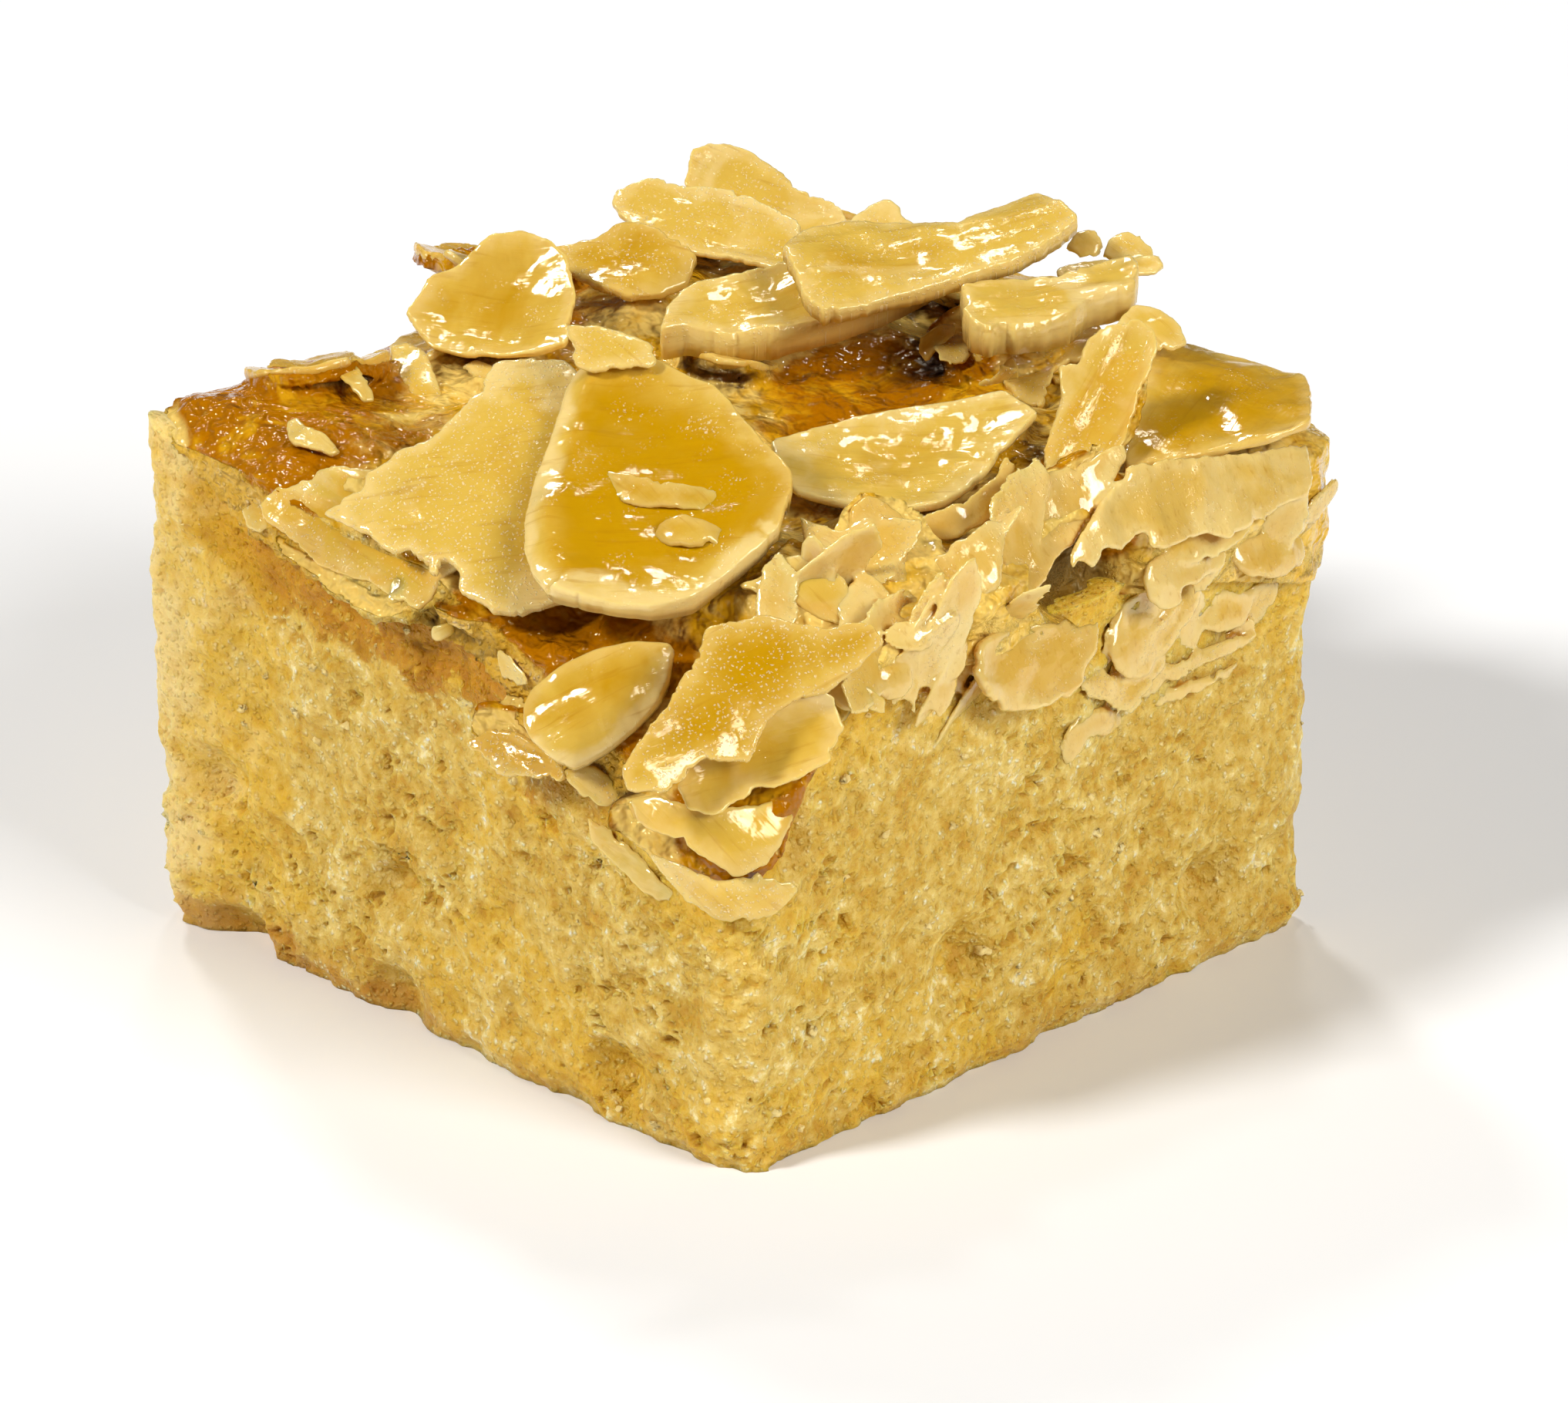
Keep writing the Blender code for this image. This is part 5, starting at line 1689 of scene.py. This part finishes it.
    def seen(self, points: np.ndarray, normals: np.ndarray, own: BVHTree) -> tuple[np.ndarray, np.ndarray]:
        """How thin the glaze is at each point, and how much painted shade it gets: the share of the sky
        hidden from it, plus a painted shadow where a large slice hangs over it.

        Args:
            points: The glaze's points.
            normals: Their normals.
            own: The glaze's own faces.

        Returns:
            Two shares from 0 to 1 for each point.
        """
        large = tree_of([frame["nodes"][almond.name] for almond in LARGE_SLICES], self.form.outline_shift)
        ways, shade_way = spiral_ways(self.looks_round), Vector(self.shade_way)
        thin, deep = [], []
        for place, normal in zip(map(Vector, points.tolist()), map(Vector, normals.tolist())):
            through = own.ray_cast(place - normal * 0.05, -normal, self.thin_reach)[3]
            thin.append(0.0 if through is None else 1.0 - through / self.thin_reach)
            start = place + normal * self.sight_start
            shaded = large.ray_cast(start, shade_way, self.sight)[0] is not None
            hidden = hidden_share(own, start, normal, self.sight, ways)
            deep.append(min(1.0, hidden + self.shade * shaded))
        return np.array(thin), np.array(deep)


@dataclass(frozen=True)
class CrumbFinish:
    """Moist yellow crumb: pale granular clumps, ochre pits, soaked golden patches, and a pale cream of
    painted light at its rounded left corner.
    """

    gold: Colour = linear(207, 167, 62)
    light: Colour = linear(229, 200, 112)
    pale: Colour = linear(248, 230, 172)
    white: Colour = linear(255, 250, 226)
    soaked: Colour = linear(230, 182, 30)
    pit: Colour = linear(190, 130, 10)
    crust: Colour = linear(180, 118, 30)
    amber: Colour = linear(222, 192, 84)
    # Painted light for the rounded left corner.
    cream: Colour = linear(246, 226, 164)
    loose: Colour = linear(255, 232, 160)

    def grown(self, look: Look, place: Socket, pits: Operand, ledges: Operand,
              crests: Operand) -> tuple[Socket, Socket]:
        """The crumb's colour and relief.

        Args:
            look: The material they go into.
            place: The place on the cake.
            pits: How deep in a pit each place lies.
            ledges: How far under a torn ledge each place lies.
            crests: How far each place is the top of a grain.

        Returns:
            The colour, and a height for the bump.
        """
        coarse = look.grain(place, 2.6, 7.0, 0.62)
        fine = look.grain(place, 0.7, 5.0, 0.66)
        grains = look.between(look.cells(look.warped(place, 0.5, 0.5), 0.36), 0.5, 0.05)
        plateaus = look.between(look.grain(place, 4.5, 8.0, 0.6), 0.495, 0.52)
        level = coarse * 0.4 + fine * 0.55 + grains * 0.1 + plateaus * 0.035 - 0.005
        level = level + (crests - 0.3) * 0.04 - ledges * 0.03 - pits * 0.12
        colour = look.mixed(look.between(level, 0.4, 0.58), self.gold, self.light)
        patches = look.between(look.grain(place, 8.0, 3.0, 0.6, 0.5), 0.52, 0.62)
        colour = look.mixed(patches * look.between(level, 0.56, 0.48) * 0.4, colour, self.soaked)
        colour = look.mixed(look.between(level, 0.54, 0.62), colour, self.pale)
        colour = look.mixed(look.between(level, 0.62, 0.67), colour, self.white)
        colour = look.mixed(look.between(level, 0.43, 0.36) * 0.45, colour, self.pit)
        return colour, level * 1.2 + grains * 0.26

    def material(self, loose: bool = False) -> bpy.types.Material:
        """Makes the crumb's material, or that of the loose grains, which let no light through."""
        look = Look("loose_crumb" if loose else "crumb")
        place = look.place()
        pits, ledges, crests = (look.painted(name) for name in ("pit", "ledge", "crest"))
        colour, height = self.grown(look, place, pits, ledges, crests)
        drift = look.grain(place, 2.2, 4.0)
        damp = look.between(look.painted("depth") + (drift - 0.5) * 6, 5.0, 0.5)
        colour = look.mixed(damp * 0.5, colour, self.soaked)
        soak = look.painted("soak")
        ragged = look.between(soak, 0.0, 0.25) * ((drift - 0.5) * 1.4 - (height - 0.78) * 1.2)
        soak = look.between(soak + ragged, 0.1, 0.85)
        colour = look.mixed(soak, colour, self.amber, "MULTIPLY")
        across = look.node("ShaderNodeVectorMath", {"operation": "DOT_PRODUCT"},
                           {0: place, 1: (0.7071, 0.7071, 0.0)}, "Value")
        corner = across + (drift - 0.5) * 9 + (look.grain(place, 7.0, 3.0) - 0.5) * 12
        colour = look.mixed(look.between(corner, -21.5, -25.5) * 0.5, colour, self.soaked)
        # Painted light: towards the rounded left corner, where light passes through the crumb, it is painted
        # pale cream.
        colour = look.mixed(look.between(corner, -24.5, -29.0) * 0.55, colour, self.cream)
        baked = look.between(look.painted_height() + (drift - 0.5) * 8, 2.6, 0.4)
        baked = baked * (look.between(across, -12.0, -18.0) * 0.5 + 0.15) * look.between(height, 0.98, 0.7)
        colour = look.mixed(baked, colour, self.crust)
        if loose:
            colour = look.mixed(0.6, colour, self.loose)
        return look.finish(
            Base_Color=colour, Roughness=look.grain(place, 0.5, 2.0) * 0.5 + 0.15, IOR=1.45,
            Specular_IOR_Level=0.4, Specular_Tint=(1.0, 0.94, 0.8), Subsurface_Weight=0.0 if loose else 0.6,
            Subsurface_Radius=(1.0, 0.8, 0.5), Subsurface_Scale=1.0 * MM, Normal=look.bumped(height, 0.45))


@dataclass(frozen=True)
class AlmondFinish:
    """Glazed almond: translucent waxy yellow, paler to its edges, with fine grain, wet sparkles and sugar
    crystals painted bright as glints, a deeper gold at the caramel that is partly its coat and partly painted
    shade, and painted shade in the creases of the fused flakes.
    """

    heart: Colour = linear(192, 144, 0)
    flesh: Colour = linear(214, 178, 76)
    rim: Colour = linear(232, 208, 142)
    line: Colour = linear(176, 122, 6)
    # Whitish sugar crystals, painted bright so that they also stand for glints.
    frosted: Colour = linear(255, 240, 200)
    # Deeper gold where the flakes meet the caramel: partly the caramel's own coat, partly painted shade at
    # the contact.
    glaze: Colour = linear(216, 160, 24)
    # Painted shade colour for the creases between the fused flakes.
    crease: Colour = linear(190, 128, 14)
    glazing: float = 0.5
    sparkle: float = 0.55
    wetness: float = 0.35
    name: str = "almond"

    @classmethod
    def glazed(cls) -> bpy.types.Material:
        """The paler flakes at the right, which the glaze has run together."""
        return cls(heart=linear(202, 152, 30), flesh=linear(216, 180, 90), rim=linear(230, 206, 138),
                   glazing=0.25, sparkle=0.25, wetness=0.8, name="glazed_almond").material()

    def material(self) -> bpy.types.Material:
        """Makes the almonds' material."""
        look = Look(self.name)
        place = look.painted("grain", "Vector")
        deep, pale, tint = (look.painted(name) for name in ("deep", "pale", "tint"))
        clouds = look.grain(place, 5.0, 4.0, 0.55, 0.8)
        inner = look.between(deep, 0.0, 3.2)
        heart = look.between(tint * 1.5 + inner * 0.8 + (clouds - 0.5) * 2.6 - pale * 1.1, 0.5, 2.0)
        colour = look.mixed(heart, self.flesh, self.heart)
        cream = look.between(clouds - tint * 0.25 - inner * 0.1 + pale * 0.4, 0.42, 0.62)
        colour = look.mixed(cream * 0.7, colour, self.rim)
        edge = 1 - look.between(deep + (look.grain(place, 1.2, 4.0) - 0.5) * 1.6, 0.0, 0.9)
        colour = look.mixed(edge * (0.55 - tint * 0.3), colour, self.rim)
        fibres = look.grain(look.stretched(place, (0.16, 1.5, 1.0)), 0.5, 3.0, 0.6, 0.3)
        colour = look.mixed(look.between(fibres, 0.55, 0.75) * 0.35, colour, self.line)
        # Deeper gold near the caramel: partly its coat on the flakes, partly painted shade where they meet
        # it.
        wet = look.between(look.painted("glaze") + (clouds - 0.5) * 0.8, 0.45, 1.0)
        colour = look.mixed(wet * self.glazing, colour, self.glaze)
        # Painted shade in the creases between the fused flakes.
        colour = look.mixed(look.between(look.painted("crease"), 0.2, 0.75) * 0.85, colour, self.crease)
        # Whitish sugar crystal dots, painted bright so that they also stand for glints.
        strewn = look.between(look.grain(place, 1.7, 3.0) + look.painted("frost") * 0.4, 0.5, 0.85)
        crystals = look.between(look.cells(look.warped(place, 0.3, 0.3), 0.19), 0.38, 0.1) * strewn
        colour = look.mixed(crystals * self.sparkle, colour, self.frosted)
        height = fibres * 0.1 + look.grain(place, 1.2, 2.0, 0.5, 0.3) * 0.5 + crystals * 0.2
        height = height + look.grain(place, 4.0, 1.0) * 2.2
        return look.finish(
            Base_Color=colour, Roughness=look.grain(place, 2.5, 2.0) * 0.2 + 0.04, IOR=1.48,
            Specular_IOR_Level=0.55, Specular_Tint=(1.0, 0.93, 0.72), Coat_Tint=(1.0, 0.97, 0.88),
            Subsurface_Weight=0.5, Subsurface_Radius=(1.0, 0.8, 0.45), Subsurface_Scale=0.6 * MM,
            Coat_Weight=self.wetness, Coat_Roughness=0.03, Normal=look.bumped(height, 0.22))


@dataclass(frozen=True)
class CaramelFinish:
    """Amber caramel with painted shade in its hollows, its cavity and under the large slices, which pales to
    glazed almond and soaks into the crumb.
    """

    amber: Colour = linear(170, 104, 0)
    # Painted shade colour for the hollows, the cavity and the places under the large slices.
    deep: Colour = linear(62, 28, 0)
    honey: Colour = linear(214, 158, 20)
    coat: Colour = linear(234, 198, 104)
    run: Colour = linear(226, 178, 60)
    crumb: CrumbFinish = CrumbFinish()

    def material(self) -> bpy.types.Material:
        """Makes the caramel's material."""
        look = Look("caramel")
        place = look.place()
        # deep is painted shade: it darkens the crumb colour of the walls as their pits, and the colour itself
        # further below.
        deep = look.painted("deep")
        soaked, crumbs = self.crumb.grown(look, place, deep, 0.0, 0.3)
        drift = look.grain(place, 1.6, 5.0, 0.65)
        clouds = look.grain(place, 3.0, 4.0, 0.6, 0.8)
        brown = look.between(look.painted("amber") + (drift - 0.5) * 1.2, 0.3, 0.8)
        crumbly = look.between(look.painted("crumbly") + (drift - 0.5) * 1.2, 0.2, 0.5)
        pale = look.mixed(look.between(clouds, 0.42, 0.62), self.coat,
                          look.mixed(look.painted("glazed"), self.honey, self.run))
        dark = look.mixed(look.between(clouds, 0.52, 0.68) * 0.8, self.amber, self.honey)
        colour = look.mixed(brown, pale, dark)
        colour = look.mixed(look.between(look.painted("thin"), 0.15, 0.4) * 0.9, colour, self.coat)
        stained = look.mixed(brown * 0.6, soaked, self.honey)
        colour = look.mixed(crumbly, colour, stained)
        # Painted shade in the hollows, the cavity and under the large slices.
        colour = look.mixed(look.between(deep, 0.28, 0.72), colour, self.deep)
        waves = look.grain(look.stretched(place, (1.0, 1.0, 1.5)), 1.1, 1.0, 0.5, 0.6)
        height = waves * 1.4 + look.grain(place, 0.45, 1.0) * 0.4 + crumbs * crumbly * 0.8
        rough = look.grain(place, 1.2, 2.0) * 0.04 + crumbly * 0.3 + look.between(deep, 0.3, 0.7) * 0.4
        return look.finish(
            Base_Color=colour, Roughness=rough, IOR=1.48, Specular_IOR_Level=0.35,
            Specular_Tint=(1.0, 0.86, 0.5), Subsurface_Weight=0.15, Subsurface_Radius=(1.0, 0.75, 0.3),
            Subsurface_Scale=0.7 * MM, Normal=look.bumped(height, 0.5))


@dataclass(frozen=True)
class Lamp:
    """A soft light, placed as seen by the camera: degrees round to the right and up, and its distance."""

    name: str
    turn: float
    rise: float
    distance: float
    size: float
    power: float


@dataclass
class Studio:
    """The floor, the lamps, the camera and how colours are shown."""

    form: CakeForm
    view: View
    lamps: tuple = (
        Lamp("key", -62.0, 42.0, 4800.0, 900.0, 182.0),
        Lamp("fill", 50.0, 33.0, 4800.0, 2200.0, 178.0),
        Lamp("rim", -160.0, 42.0, 4800.0, 700.0, 50.0),
        Lamp("spark", 178.0, 60.0, 4800.0, 450.0, 16.0),
    )
    floor_side: float = 3000.0
    floor_colour: Colour = (0.9, 0.9, 0.9)
    sky_colour: Colour = (1.0, 0.84, 0.6)
    sky_strength: float = 0.08

    def build_floor(self) -> None:
        """Makes the plain pale floor."""
        half = self.floor_side / 2
        draft = MeshDraft()
        corners = np.array([(-1, -1, 0), (1, -1, 0), (1, 1, 0), (-1, 1, 0)]) * half
        draft.add(corners, [(0, 1, 2, 3)])
        floor = draft.make("floor", (0.0, 0.0, 0.0))
        floor.data.materials.append(Look("pale_floor").finish(Base_Color=self.floor_colour, Roughness=0.6))

    def build_lights(self) -> None:
        """Places the lamps and the pale surroundings."""
        for lamp in self.lamps:
            light = bpy.data.lights.new(lamp.name, "AREA")
            light.shape, light.size = "DISK", lamp.size * MM
            light.energy = lamp.power
            obj = bpy.data.objects.new(lamp.name, light)
            way = self.view.way(self.view.azimuth + lamp.turn, lamp.rise)
            obj.location = way * lamp.distance * MM
            obj.rotation_mode = "QUATERNION"
            obj.rotation_quaternion = way.to_track_quat("Z", "Y")
            bpy.context.scene.collection.objects.link(obj)
        world = bpy.data.worlds.new("pale_room")
        world.use_nodes = True
        sky = world.node_tree.nodes["Background"]
        sky.inputs["Color"].default_value = (*self.sky_colour, 1.0)
        sky.inputs["Strength"].default_value = self.sky_strength
        bpy.context.scene.world = world

    def build_camera(self) -> None:
        """Sets the camera where the photograph was taken from."""
        camera = bpy.data.cameras.new("camera")
        camera.lens, camera.sensor_width = self.view.lens, self.view.sensor
        camera.clip_start, camera.clip_end = 0.01, 10.0
        obj = bpy.data.objects.new("camera", camera)
        obj.location = (self.view.place() + Vector(self.form.outline_shift)) * MM
        obj.rotation_mode = "QUATERNION"
        obj.rotation_quaternion = self.view.back().to_track_quat("Z", "Y")
        bpy.context.scene.collection.objects.link(obj)
        bpy.context.scene.camera = obj

    def build(self) -> None:
        """Sets up everything round the cake."""
        self.build_floor()
        self.build_lights()
        self.build_camera()
        shown = bpy.context.scene.view_settings
        shown.view_transform, shown.look, shown.exposure, shown.gamma = "Standard", "None", 0.0, 1.0


def place_piece(obj: bpy.types.Object, material: bpy.types.Material) -> None:
    """Gives a piece its finish, sets it on the cake's body and reports it."""
    obj.data.materials.append(material)
    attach(obj, "root")
    LOG.info("%s: %d faces", obj.name, len(obj.data.polygons))


def main() -> None:
    """Builds the cake's pieces and its studio in order."""
    logging.basicConfig(level=logging.INFO, format="%(name)s: %(message)s")
    form = CakeForm()
    crumb, almond, caramel = CrumbFinish().material(), AlmondFinish().material(), CaramelFinish().material()
    sponge = Sponge(form).build()
    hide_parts("sponge")
    place_piece(sponge, crumb)
    place_piece(LooseCrumbs(form).build(sponge), CrumbFinish().material(loose=True))
    pour = Caramel(form)
    glaze = pour.build()
    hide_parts(pour.node)
    place_piece(glaze, caramel)
    view = View()
    heap = Heap(form, view)
    for obj in heap.large():
        place_piece(obj, almond)
    loose, run_together = heap.small()
    place_piece(loose, almond)
    place_piece(run_together, AlmondFinish.glazed())
    Studio(form, view).build()


if __name__ == "__main__":
    main()
